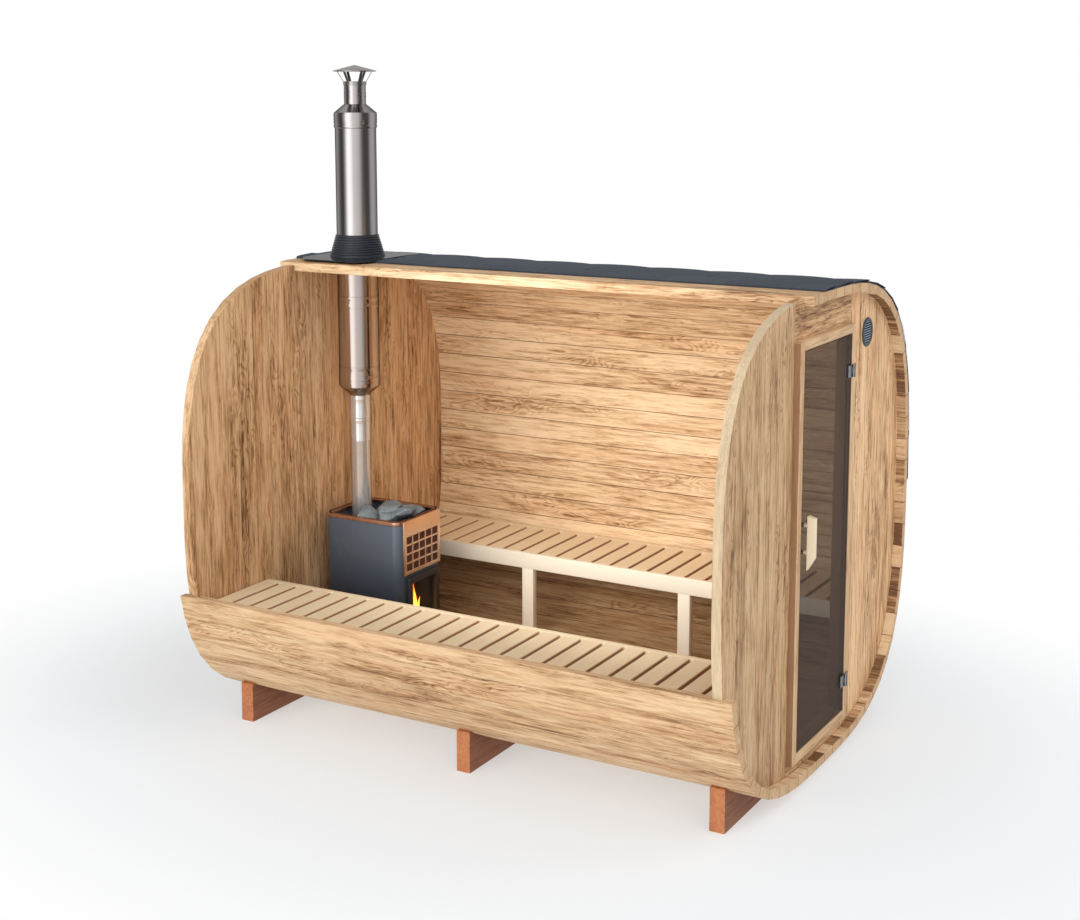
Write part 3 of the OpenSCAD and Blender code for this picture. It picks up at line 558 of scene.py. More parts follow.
metals = {
    "flue": steel("brushedFlue", (0.64, 0.605, 0.595), 0.18, (3, 3, 420), 0.04, 0.85,
                  (0.56, 0.48, 0.44), 0.2),
    "pipe": steel("brightPipe", (0.80, 0.77, 0.75), 0.2, (3, 3, 420), 0.04, 0.85, None, 0.15, 0.75),
    "cap": steel("capSteel", (0.50, 0.475, 0.46), 0.26, (60, 60, 60)),
    "copper": steel("brushedCopper", (0.92, 0.68, 0.53), 0.36, (14, 14, 260), 0.2),
    "rim": steel("rimCopper", (0.74, 0.46, 0.35), 0.28, (14, 14, 260), 0.2),
    "hinge": steel("hingeSteel", (0.40, 0.40, 0.42), 0.24, (220, 220, 30)),
}
finishes = {
    "casing": coated("graphiteCasing", (0.044, 0.053, 0.068), 0.24, 340.0, 0.00012, 0.2,
                     (0.09, 0.095, 0.105), (0.35, 0.95)),
    "iron": coated("castIron", (0.018, 0.018, 0.020), 0.5, 240.0, 0.0005, 0.5, (0.06, 0.055, 0.05)),
    "soot": coated("sootedIron", (0.022, 0.019, 0.017), 0.85, 90.0, 0.001, 0.8, (0.10, 0.07, 0.05)),
    "vent": coated("ventPaint", (0.060, 0.068, 0.085), 0.42, 300.0, 0.0002, 0.2, (0.2, 0.2, 0.22)),
    "blade": coated("bladePaint", (0.34, 0.42, 0.50), 0.42, 300.0, 0.0002, 0.2, (0.45, 0.50, 0.56)),
    "seal": coated("sealRubber", (0.030, 0.018, 0.014), 0.6, 200.0, 0.0002),
    "boot": coated("bootRubber", (0.032, 0.036, 0.045), 0.42, 180.0, 0.0003, 0.3, (0.09, 0.09, 0.10)),
    "plate": coated("flashingSheet", (0.020, 0.022, 0.027), 0.27, 60.0, 0.0006, 0.3, (0.06, 0.06, 0.07)),
    "lining": coated("shieldOpeningShade", (0.075, 0.024, 0.016), 0.7),
    "dark": coated("paintedHoleShade", (0.022, 0.009, 0.006), 0.9),
    "stone": stoneMaterial(),
    "shingle": shingleMaterial(),
    "flame": flameMaterial(),
    "ember": emberMaterial(),
    "doorPane": tintedPane("bronzeGlass", (0.026, 0.014, 0.009), 0.62),
    "firePane": tintedPane("fireGlass", (0.020, 0.014, 0.010), 0.20),
}
print("materials ready")


def addPiece(name, shape, material=None):  # uses up the bmesh
    mesh = bpy.data.meshes.new(name)
    shape.to_mesh(mesh)
    shape.free()
    piece = bpy.data.objects.new(name, mesh)
    bpy.context.scene.collection.objects.link(piece)
    if material:
        mesh.materials.append(material)
    return piece


def goWith(piece, node, crease=32):  # moves as that node does, shaded smooth up to the crease angle
    piece.data.shade_smooth()
    piece.data.set_sharp_from_angle(angle=math.radians(crease))
    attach(piece, frame["nodes"][node]["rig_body"])


def standFor(piece, node, crease=32):
    goWith(piece, node, crease)
    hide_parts(node)


def islands(mesh):  # lists of points that hang together
    near = [[] for _ in mesh.vertices]
    for edge in mesh.edges:
        a, b = edge.vertices
        near[a].append(b)
        near[b].append(a)
    found, seen = [], set()
    for start in range(len(near)):
        if start not in seen:
            seen.add(start)
            group = [start]
            for point in group:  # the list grows while it is walked
                fresh = [there for there in near[point] if there not in seen]
                seen.update(fresh)
                group += fresh
            found.append(group)
    return found


def tagBoards(piece, seed):  # each board its own number, read by its material
    dice = random.Random(seed)
    numbers = [0.0] * len(piece.data.vertices)
    for group in islands(piece.data):
        number = dice.random()
        for k in group:
            numbers[k] = number
    tags = piece.data.attributes.new("board", "FLOAT", "POINT")
    tags.data.foreach_set("value", numbers)
    return piece


def timber(piece, lookName, seed=1, grainAt=None):  # grain along each board, or as grainAt says
    mesh = piece.data
    grainOf = {}
    for group in islands(mesh):
        places = [mesh.vertices[k].co for k in group]
        spans = [max(p[axis] for p in places) - min(p[axis] for p in places) for axis in range(3)]
        for k in group:
            grainOf[k] = "XYZ"[spans.index(max(spans))]
    mesh.materials.clear()
    used = []
    for face in mesh.polygons:
        grain = grainAt(face.center) if grainAt else grainOf[face.vertices[0]]
        if grain not in used:
            used.append(grain)
            mesh.materials.append(wood(lookName, grain))
        face.material_index = used.index(grain)
    return tagBoards(piece, seed)


def blockShape(low, high):
    shape = bmesh.new()
    bmesh.ops.create_cube(shape, size=1)
    low, high = Vector(low), Vector(high)
    for point in shape.verts:
        point.co = Vector(low[k] + (point.co[k] + 0.5) * (high[k] - low[k]) for k in range(3))
    return shape


def extruded(outline, run):  # a closed outline, run along a vector
    shape = bmesh.new()
    first, last = ([shape.verts.new(Vector(p) + Vector(run) * k) for p in outline] for k in (0, 1))
    shape.faces.new(first)
    shape.faces.new(last[::-1])
    for k, point in enumerate(first):
        after = (k + 1) % len(first)
        shape.faces.new((point, last[k], last[after], first[after]))
    bmesh.ops.recalc_face_normals(shape, faces=shape.faces)
    return shape


def joinRings(shape, rings, steps, closed=False):
    for below, above in zip(rings, rings[1:] + rings[:1] if closed else rings[1:]):
        for k in range(steps):
            after = (k + 1) % steps
            corners = [below[k % len(below)], below[after % len(below)],
                       above[after % len(above)], above[k % len(above)]]
            shape.faces.new(dict.fromkeys(corners))


def turned(profile, centre, steps=96, closed=False):  # radius and height, spun round an upright axis
    shape = bmesh.new()
    rings = []
    for radius, height in profile:
        count = steps if radius > 0 else 1
        turns = [math.tau * k / count for k in range(count)]
        rings.append([shape.verts.new((centre[0] + radius * math.cos(t), centre[1] + radius * math.sin(t),
                                       height)) for t in turns])
    joinRings(shape, rings, steps, closed)
    bmesh.ops.recalc_face_normals(shape, faces=shape.faces)
    return shape


def disc(radius, start, end):  # the profile of a plain round bar
    return [(0, start), (radius, start), (radius, end), (0, end)]


def turnedAlongX(profile, middle, steps=64, closed=False):  # heights run along X
    shape = turned([(radius, x) for radius, x in profile], (0, 0), steps, closed)
    for point in shape.verts:
        across, up, along = point.co
        point.co = (along, middle.y + across, middle.z + up)
    bmesh.ops.recalc_face_normals(shape, faces=shape.faces)
    return shape


def profileFrom(radius, foot, *points):  # out from the radius and up from the foot, and round ridges
    profile = []
    for out, up, *ridge in points:
        edge, height = radius + out, foot + up
        profile.append((edge, height))
        if ridge:  # how far it stands out, half its width
            rise, half = ridge
            profile[-1:] = [(edge, height - half), (edge + rise * 0.8, height - half / 2),
                            (edge + rise, height), (edge + rise * 0.8, height + half / 2),
                            (edge, height + half)]
    return profile


def joined(shapes):
    whole = bmesh.new()
    for shape in shapes:
        mesh = bpy.data.meshes.new("part")
        shape.to_mesh(mesh)
        shape.free()
        whole.from_mesh(mesh)
        bpy.data.meshes.remove(mesh)
    return whole


def boardShape(size, place):  # a board with eased joints; place sets it along, across, deep
    width, thick, stretch = size["width"], size["thick"], size.get("stretch", 1)
    ease, back, endEase = size["ease"], size["backEase"], size["endEase"]
    gap = size.get("gap", 0.00008)

    def ringAt(along, inset):
        left, right = (gap + inset) * stretch, width * stretch - (gap + inset) * stretch
        face, side = -inset, inset - thick
        e, b = (ease + inset) * stretch, (back + inset) * stretch
        flat = [(left, face - ease), (e, face), (width * stretch - e, face), (right, face - ease),
                (right, side + back), (width * stretch - b, side), (b, side), (left, side + back)]
        return [shape.verts.new(place(along, across, deep)) for across, deep in flat]

    shape = bmesh.new()
    joint = shape.loops.layers.float.new("joint")
    start, end = size["start"], size["end"]
    rings = [ringAt(start, endEase), ringAt(start + endEase, 0), ringAt(end - endEase, 0),
             ringAt(end, endEase)]
    shape.faces.new(rings[0])
    shape.faces.new(rings[-1][::-1])
    for below, above in zip(rings, rings[1:]):
        for k in range(8):
            after = (k + 1) % 8
            face = shape.faces.new((below[k], above[k], above[after], below[after]))
            for loop, number in zip(face.loops, (k, k, after, after)):
                # the joint layer marks the board's sides and eased edges for the painted joint shade
                loop[joint] = float(number in (0, 3, 4, 7)) * size.get("shade", 1)
    bmesh.ops.recalc_face_normals(shape, faces=shape.faces)
    return shape


def boarding(name, size, place, count, step):  # a row of boards
    boards = addPiece(name, boardShape(size, place))
    grow(boards, "repeat", columns=count, rows=1, columnStep=step)
    return boards


def cut(piece, shape, operation="DIFFERENCE"):  # takes the bmesh away, or keeps what is in it
    tool = addPiece("cutter", shape)
    modifier = piece.modifiers.new("cut", "BOOLEAN")
    modifier.operation = operation
    modifier.solver = "EXACT"
    modifier.object = tool
    settle(piece)
    bpy.data.meshes.remove(tool.data)


def clearJointShade(piece, test):  # no painted joint shade on faces whose middle passes
    tags = piece.data.attributes["joint"].data
    for face in piece.data.polygons:
        if test(face.center):
            for k in face.loop_indices:
                tags[k].value = 0.0


def bevel(piece, width, segments=1, angle=30):
    modifier = piece.modifiers.new("ease", "BEVEL")
    modifier.width = width
    modifier.segments = segments
    modifier.limit_method = "ANGLE"
    modifier.angle_limit = math.radians(angle)
    settle(piece)


def easedCopy(name, node, ease, segments=2, material=None):
    shape = bmesh.new()
    shape.from_mesh(frame["nodes"][node].data)
    bmesh.ops.remove_doubles(shape, verts=shape.verts, dist=0.00005)
    bmesh.ops.dissolve_limit(shape, angle_limit=math.radians(0.4), verts=shape.verts, edges=shape.edges)
    piece = addPiece(name, shape)
    bevel(piece, ease, segments)
    piece.data.materials.clear()
    if material:
        piece.data.materials.append(material)
    return piece


def easedParts(parts):  # by node: name, easing, its steps, finish, sharpest soft edge
    for node, (name, ease, segments, material, crease) in parts.items():
        standFor(easedCopy(name, node, ease, segments, material), node, crease)


# shell
shell = {
    "ease": 0.0011, "backEase": 0.0028, "endEase": 0.0016,  # rounding of the staves' edges
    "jointWidth": 0.110,
    "bands": {  # first and last joint, seen from the door end
        "shell_floor": (-21, -11), "shell_low_front": (-30, -21), "shell_low_back": (-11, -5),
        "shell_back": (-5, 5), "shell_high_back": (5, 11), "shell_roof": (11, 21)},
    "flueRoom": 0.010, "flueHole": (1.9, 2.5),  # between the flue and its hole, and from where to where
    "cutRoom": 0.4,  # share of a stave left on until the flat cut
}
flueRadius = (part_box("flue_top")[1].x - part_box("flue_top")[0].x) / 2 - 0.005


def jointWhere(first, last, inside):  # where the outer face leaves what is inside
    for _ in range(40):
        middle = (first + last) / 2
        if inside(*shellPoint(math.floor(middle), middle - math.floor(middle), 0)):
            first = middle
        else:
            last = middle
    return first


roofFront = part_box("shell_roof")[0].y
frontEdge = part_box("shell_low_front")[1].z
lastRoofJoint = jointWhere(16, 21, lambda across, up: across > roofFront)
firstFrontJoint = jointWhere(-21, -30, lambda across, up: up + hut["middle"] < frontEdge)


def flueHole():
    return turned(disc(flueRadius + shell["flueRoom"], *shell["flueHole"]), (flueX, 0), 64)


for seed, (node, (low, high)) in enumerate(shell["bands"].items()):
    if node == "shell_low_front":
        low = firstFrontJoint - shell["cutRoom"]
    if node == "shell_roof":
        high = lastRoofJoint + shell["cutRoom"]
    first = math.floor(low)
    stave = {**shell, "width": shell["jointWidth"], "stretch": 1 / shell["jointWidth"],
             "thick": hut["staveThick"], "start": -hut["halfLength"], "end": hut["halfLength"]}
    staves = boarding(node.replace("shell_", "staves_"), stave,
                      lambda along, across, deep: Vector((along, first + across, deep)),
                      math.ceil(high) - first, (0.0, 1.0, 0.0))
    grow(staves, "wrap", firstJoint=float(low), lastJoint=float(high), halfLength=hut["halfLength"])
    if node == "shell_roof":
        cut(staves, flueHole())
        cut(staves, blockShape((-2, -2, hut["middle"]), (2, roofFront, 3)))
    if node == "shell_low_front":
        cut(staves, blockShape((-2, -2, frontEdge), (2, 0, 3)))
    timber(staves, "stave", 10 + seed)
    standFor(staves, node)
print("shell ready")

# end walls
walls = {
    "boards": {"stove_end_wall": 18, "door_wall_front": 6, "door_wall_rear": 6, "door_wall_head": 2,
               "door_wall_sill": 1},
    "level": ("door_wall_head", "door_wall_sill"),
    "finish": {"door_wall_front": "wallFront", "door_wall_rear": "wallRear"},
    "ease": 0.0010, "backEase": 0.0010, "endEase": 0.001,
    "ventBore": 0.060}
past = 0.01  # how far a cutter runs past a face
rim = hut["width"] / 2 - hut["rimDepth"] - 0.001
ventLow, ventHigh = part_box("vent_grille")
ventMiddle = (ventLow + ventHigh) / 2
for seed, (node, count) in enumerate(walls["boards"].items()):
    low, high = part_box(node)
    across, along = (2, 1) if node in walls["level"] else (1, 2)
    outward = 1 if low.x > 0 else -1
    face = high.x if outward > 0 else low.x
    step = [0.0, 0.0, 0.0]
    step[across] = (high[across] - low[across]) / count

    def place(alongAt, acrossAt, deep):
        point = Vector((face + deep * outward, 0, 0))
        point[along] = alongAt
        point[across] = low[across] + acrossAt
        return point

    size = {**walls, "width": step[across], "thick": high.x - low.x, "start": low[along], "end": high[along]}
    boards = boarding(node.replace("wall", "boards"), size, place, count, step)
    cut(boards, sectionBlock(hut["rimDepth"], low.x - past, high.x + past), "INTERSECT")
    if node == "door_wall_rear":
        cut(boards, turnedAlongX(disc(walls["ventBore"], low.x - past, high.x + past), ventMiddle, 48))
    clearJointShade(boards, lambda centre: abs(centre.y) > rim)
    grain = "XYZ"[along]
    timber(boards, walls["finish"].get(node, "wall"), 30 + seed, lambda centre: grain)
    standFor(boards, node)
print("end walls ready")

# plain timbers
timbers = {  # by finish and easing of the edges
    ("foot", 0.0022): ("foot_stove_end", "foot_middle", "foot_door_end"),
    ("frame", 0.0020): ("door_jamb_front", "door_jamb_rear", "door_head", "door_sill"),
    ("fascia", 0.0020): ("front_bench_fascia",),
    ("fascia", 0.0025): ("back_bench_fascia", "front_bench_frame", "back_bench_frame"),
    ("grip", 0.0035): ("door_handle",),
}
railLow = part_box("front_bench_fascia")[0].z
seed = 50
for (look, ease), nodes in timbers.items():
    for node in nodes:
        grainAt = None
        if node.endswith("frame"):  # upright in the posts, level in the rails
            grainAt = lambda centre: "Z" if centre.z < railLow - 0.003 else "X"
        standFor(timber(easedCopy(node + "_timber", node, ease), look, seed, grainAt), node)
        seed += 1
print("timbers ready")

# floor and bench tops
deck = {"boards": 10, "gap": 0.0013, "ease": 0.0015, "backEase": 0.0005, "endEase": 0.001}
low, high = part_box("floor_deck")
pitch = (high.y - low.y) / deck["boards"]
floor = boarding("floor_boards",
                 {**deck, "width": pitch, "thick": high.z - low.z, "start": low.x, "end": high.x},
                 lambda along, across, deep: Vector((along, low.y + across, high.z + deep)),
                 deck["boards"], (0.0, pitch, 0.0))
cut(floor, sectionBlock(hut["staveThick"], low.x - past, high.x + past), "INTERSECT")
timber(floor, "floor", 70)
standFor(floor, "floor_deck")

# shade: how much painted joint shade the slats' sides take
bench = {"slats": 25, "slatGap": 0.018, "strip": 0.042, "stripEase": 0.0018, "letIn": 0.002,
         "notchSteps": 10, "gap": 0.0, "ease": 0.0036, "backEase": 0.0015, "endEase": 0.0022, "shade": 0.9}
for seed, node in enumerate(("front_bench_slats", "back_bench_slats")):
    low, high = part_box(node)
    pitch = (high.x - low.x + bench["slatGap"]) / bench["slats"]
    stripY = high.y - bench["strip"]
    slat = {**bench, "width": pitch - bench["slatGap"], "thick": high.z - low.z, "start": low.y,
            "end": stripY + bench["letIn"]}
    slats = boarding(node.replace("slats", "top"), slat,
                     lambda along, across, deep: Vector((low.x + across, along, high.z + deep)),
                     bench["slats"], (pitch, 0.0, 0.0))
    timber(slats, "bench", 80 + seed)
    standFor(slats, node)
    # the strip along the +Y edge, with a round notch at the end of every gap
    outline = [(high.x, high.y, low.z), (low.x, high.y, low.z), (low.x, stripY, low.z)]
    radius = bench["slatGap"] / 2
    turns = [math.pi * k / bench["notchSteps"] for k in range(bench["notchSteps"] + 1)]
    for k in range(1, bench["slats"]):
        notchX = low.x + k * pitch - radius
        outline += [(notchX - radius * math.cos(t), stripY + radius * math.sin(t), low.z) for t in turns]
    outline.append((high.x, stripY, low.z))
    strip = addPiece(node.replace("slats", "strip"), extruded(outline, (0, 0, high.z - low.z)))
    bevel(strip, bench["stripEase"], 2, 50)
    timber(strip, "bench", 90 + seed)
    goWith(strip, node)
print("floor and benches ready")

# door
easedParts({"door_glass": ("door_pane", 0.0008, 2, finishes["doorPane"], 15),
            "door_clamps": ("pane_clamps", 0.0012, 2, metals["hinge"], 32),
            "hinge_brackets": ("frame_knuckles", 0.0008, 2, metals["hinge"], 32)})

seal = {"width": 0.0032, "inset": 0.0012}  # a dark strip along the pane's hinge edge
low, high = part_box("door_glass")
strip = addPiece("pane_seal", blockShape((low.x + seal["inset"], high.y - 0.0002, low.z),
                                         (high.x - seal["inset"], high.y + seal["width"], high.z)),
                 finishes["seal"])
bevel(strip, seal["inset"])
goWith(strip, "door_glass")

vent = {"blades": 9, "bladeTilt": 0.5, "bladeThick": 0.0034, "bladeDepth": 0.008, "lip": 0.008,
        "bore": 0.052, "slide": (0.004, 0.006), "room": 0.001}
face = ventHigh.x - vent["lip"]
outer, sleeve, bore = ventHigh.y - ventMiddle.y, walls["ventBore"] - 0.0005, vent["bore"]
ringProfile = [(bore, ventLow.x), (sleeve, ventLow.x), (sleeve, face), (outer - 0.001, face),
               (outer, face + 0.0015),
               *profileFrom(outer, ventHigh.x, (-0.002, -0.002), (-0.005, 0)),
               *profileFrom(bore, ventHigh.x, (0.004, -0.001), (0, -0.004))]
ring = turnedAlongX(ringProfile, ventMiddle, closed=True)
standFor(addPiece("vent_ring", ring, finishes["vent"]), "vent_grille")
step = 2 * bore / vent["blades"]
tilt = Matrix.Rotation(-vent["bladeTilt"], 4, "Y")
corner = Vector((vent["bladeDepth"] / 2, outer, vent["bladeThick"] / 2))
blade = blockShape(-corner, corner)
bmesh.ops.transform(blade, matrix=tilt, verts=blade.verts)
bmesh.ops.translate(blade, vec=(face, ventMiddle.y, ventMiddle.z - step * (vent["blades"] - 1) / 2),
                    verts=blade.verts)
louvres = addPiece("vent_blades", blade)
grow(louvres, "repeat", columns=vent["blades"], rows=1, columnStep=(0.0, 0.0, step),
     material=finishes["blade"])
bore += vent["room"]
cut(louvres, turnedAlongX(disc(bore, face - 0.03, ventHigh.x), ventMiddle), "INTERSECT")
goWith(louvres, "vent_grille")
slide = turnedAlongX(disc(bore, *[ventLow.x + deep for deep in vent["slide"]]), ventMiddle)
goWith(addPiece("vent_slide", slide, finishes["vent"]), "vent_grille")
print("door ready")

# stove
stove = {"rimHoles": 0.0140, "holeWidth": 0.0088, "holeThick": 0.0012, "holeInset": 0.010, "corner": 0.05}
easedParts({"stove_casing": ("stove_body", 0.0012, 2, finishes["casing"], 32),
            "stove_firebox": ("stove_hearth", 0.001, 1, finishes["soot"], 32),
            "stove_rim": ("stove_collar", 0.0022, 3, metals["rim"], 32),
            "stove_grille": ("stove_shield", 0.0012, 2, metals["copper"], 32)})
rimLow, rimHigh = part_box("stove_rim")
shieldLow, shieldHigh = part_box("stove_grille")
lining = {"in": 0.0004, "thick": 0.0008, "inset": 0.012}  # a dark sheet at the back of the shield's openings, painted shade
inset = lining["inset"]
lineX = shieldLow.x + lining["in"]
sheet = blockShape((lineX, shieldLow.y + inset, shieldLow.z + inset),
                   (lineX + lining["thick"], shieldHigh.y - inset, rimLow.z - inset))
goWith(addPiece("shield_opening_shade", sheet, finishes["lining"]), "stove_grille")
easedParts({"stove_door": ("fire_door", 0.0016, 2, finishes["iron"], 32),
            "stove_door_glass": ("fire_pane", 0.0006, 2, finishes["firePane"], 15)})

# small dark blocks on the collar's top stand for its perforations: painted shade in the holes
corner = Vector((stove["holeWidth"], stove["holeWidth"], stove["holeThick"])) / 2
holes = addPiece("collar_hole_shade", blockShape(-corner, corner))
inset = stove["holeInset"]
grow(holes, "ring", length=rimHigh.x - rimLow.x - 2 * inset, width=rimHigh.y - rimLow.y - 2 * inset,
     corner=stove["corner"] - inset, spacing=stove["rimHoles"], material=finishes["dark"])
rimMiddle = (rimLow + rimHigh) / 2
holes.data.transform(Matrix.Translation((rimMiddle.x, rimMiddle.y, rimHigh.z)))
goWith(holes, "stove_rim")

heap = {"seed": 11, "count": 40, "size": (0.036, 0.054), "narrow": (0.65, 0.95), "thin": (0.45, 0.7),
        "lean": 0.4, "points": 15, "worn": 0.045, "reach": 0.9, "close": 0.62, "foot": 0.045, "room": 0.085,
        "slabThin": (0.30, 0.40), "slabRise": 0.006, "slope": 0.12,
        "slabs": [  # a slab's place along and across the well, its size and its tilt
            (-0.020, -0.085, 0.104, 0.25), (0.080, -0.100, 0.098, 0.05), (0.045, 0.005, 0.124, -0.08),
            (0.125, -0.010, 0.098, -0.35), (-0.005, 0.100, 0.100, 0.15), (0.105, 0.085, 0.100, 0.0)]}
dice = random.Random(heap["seed"])
fullTurn = 6.3


def brokenStone(middle, radius, thin, tilt=None):  # the hull of points on a flattened ball
    shape = bmesh.new()
    flat = Vector((1.0, dice.uniform(*heap["narrow"]), dice.uniform(*thin)))
    spin = dice.uniform(0, fullTurn)
    lean = [dice.uniform(-heap["lean"], heap["lean"]) for _ in range(2)]
    turn = Matrix.Rotation(spin, 3, Vector((*lean, 1)))
    if tilt is not None:
        turn = Matrix.Rotation(tilt, 3, "Y") @ Matrix.Rotation(dice.uniform(0, fullTurn), 3, "Z")
    for _ in range(heap["points"]):
        way = Vector([dice.gauss(0, 1) for _ in range(3)]).normalized()
        shape.verts.new(Vector(middle) + turn @ Vector([way[k] * flat[k] * radius for k in range(3)]))
    bmesh.ops.convex_hull(shape, input=shape.verts)
    bmesh.ops.delete(shape, geom=[point for point in shape.verts if not point.link_faces], context="VERTS")
    bmesh.ops.dissolve_limit(shape, angle_limit=0.12, verts=shape.verts, edges=shape.edges)
    bmesh.ops.bevel(shape, geom=shape.edges[:] + shape.verts[:], offset=radius * heap["worn"], segments=1,
                    affect="EDGES", clamp_overlap=True)
    bmesh.ops.triangulate(shape, faces=shape.faces)
    return shape


wellLow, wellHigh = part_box("stove_stones")
wellMiddle = (wellLow + wellHigh) / 2
wellTop = rimLow.z
pipeRadius = (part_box("stove_pipe")[1].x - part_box("stove_pipe")[0].x) / 2
stones, spots = [], []
while len(spots) < heap["count"]:
    radius = dice.uniform(*heap["size"])
    level = len(spots) / heap["count"]
    reach = radius * heap["reach"]
    spot = Vector((dice.uniform(wellLow.x + reach, wellHigh.x - reach),
                   dice.uniform(wellLow.y + reach, wellHigh.y - reach), 0))
    if math.hypot(spot.x - flueX, spot.y) < pipeRadius + reach:
        continue
    spot.z = wellLow.z + heap["foot"] + level * (wellTop - wellLow.z - heap["room"])
    near = any((spot - other).length < (radius + size) * heap["close"] for other, size in spots[-14:])
    if near and dice.random() < 0.9:
        continue
    spots.append((spot, radius))
    stones.append(brokenStone(spot, radius, heap["thin"]))
for along, across, radius, tilt in heap["slabs"]:
    lift = heap["slabRise"] + (0.1 - abs(across)) * heap["slope"]
    spot = Vector((wellMiddle.x + along, wellMiddle.y + across, wellTop + lift))
    stones.append(brokenStone(spot, radius, heap["slabThin"], tilt))
standFor(tagBoards(addPiece("hot_stones", joined(stones), finishes["stone"]), 5), "stove_stones", 20)

fire = {
    "tongues": [(-0.058, 0.0, 0.33, 0.012), (-0.032, 0.006, 0.19, 0.022), (0.000, -0.004, 0.31, 0.024),
                (0.030, 0.004, 0.20, 0.020)],  # across, back, height, width
    "rings": 15, "sides": 12, "flat": 0.45, "sway": 0.018,
    "logs": [(-0.052, 0.055, 0.12), (-0.030, 0.050, -0.10), (-0.042, 0.045, 0.05)],  # lift, radius, slant
    "logLength": 0.26, "logEnd": 0.006, "logSides": 20, "bark": 0.048, "barkGrain": 28,
    "logPlace": (-0.10, -0.13, 0.052),
    "front": 0.035, "foot": 0.070, "floorThick": 0.008}
hearthLow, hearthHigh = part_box("stove_firebox")
hearthFloor = hearthLow.z + fire["floorThick"]


def tongue(across, back, height, width, base):
    shape = bmesh.new()
    rings = []
    turns = [math.tau * k / fire["sides"] for k in range(fire["sides"])]
    for k in range(fire["rings"]):
        t = k / (fire["rings"] - 1)
        swell = math.sin(math.pi * min(1, t * 1.25 + 0.12)) if t < 0.4 else 1.45 * (1 - t) ** 0.8
        radius = max(0.0004, width * swell)
        sway = math.sin(t * 5.0 + across * 60) * fire["sway"] * t
        middle = Vector((base.x + back, base.y + across + sway, base.z + t * height))
        rings.append([shape.verts.new(middle + radius * Vector((math.cos(t) * fire["flat"], math.sin(t), 0)))
                      for t in turns])
    joinRings(shape, rings, fire["sides"])
    shape.faces.new(rings[0][::-1])
    shape.faces.new(rings[-1])
    bmesh.ops.recalc_face_normals(shape, faces=shape.faces)
    return shape


base = Vector((hearthHigh.x - fire["front"], 0.0, hearthFloor + fire["foot"]))
flames = addPiece("flames", joined([tongue(*sizes, base) for sizes in fire["tongues"]]), finishes["flame"])
goWith(flames, "stove_firebox", 80)


def log(lift, radius, slant):
    length, end = fire["logLength"], fire["logEnd"]
    profile = [(0, 0), (radius * 0.93, 0), (radius, end), (radius * 0.97, length / 2),
               (radius, length - end), (radius * 0.93, length), (0, length)]
    shape = turned(profile, (0, 0), fire["logSides"])
    for point in shape.verts:
        bark = noise.noise(point.co * fire["barkGrain"]) * fire["bark"]
        point.co.x *= 1 + bark
        point.co.y *= 0.8 + bark
    back, side, rise = fire["logPlace"]
    place = (hearthHigh.x + back + slant * 0.2, side, hearthFloor + radius * 0.85 + lift + rise)
    lay = (Matrix.Translation(place) @ Matrix.Rotation(slant, 4, "Z")
           @ Matrix.Rotation(-math.pi / 2, 4, "X"))
    bmesh.ops.transform(shape, matrix=lay, verts=shape.verts)
    return shape


logs = addPiece("fire_logs", joined([log(*sizes) for sizes in fire["logs"]]), finishes["ember"])
goWith(logs, "stove_firebox")
print("stove ready")

# flue
def boredPipe(radius, foot, top, wall, *points):  # the outside as above, then down a straight bore
    outside = profileFrom(radius, foot, *points)
    bore = min(edge for edge, _ in outside) - wall
    return [*outside, (radius + points[-1][0], top), (bore, top), (bore, foot)]


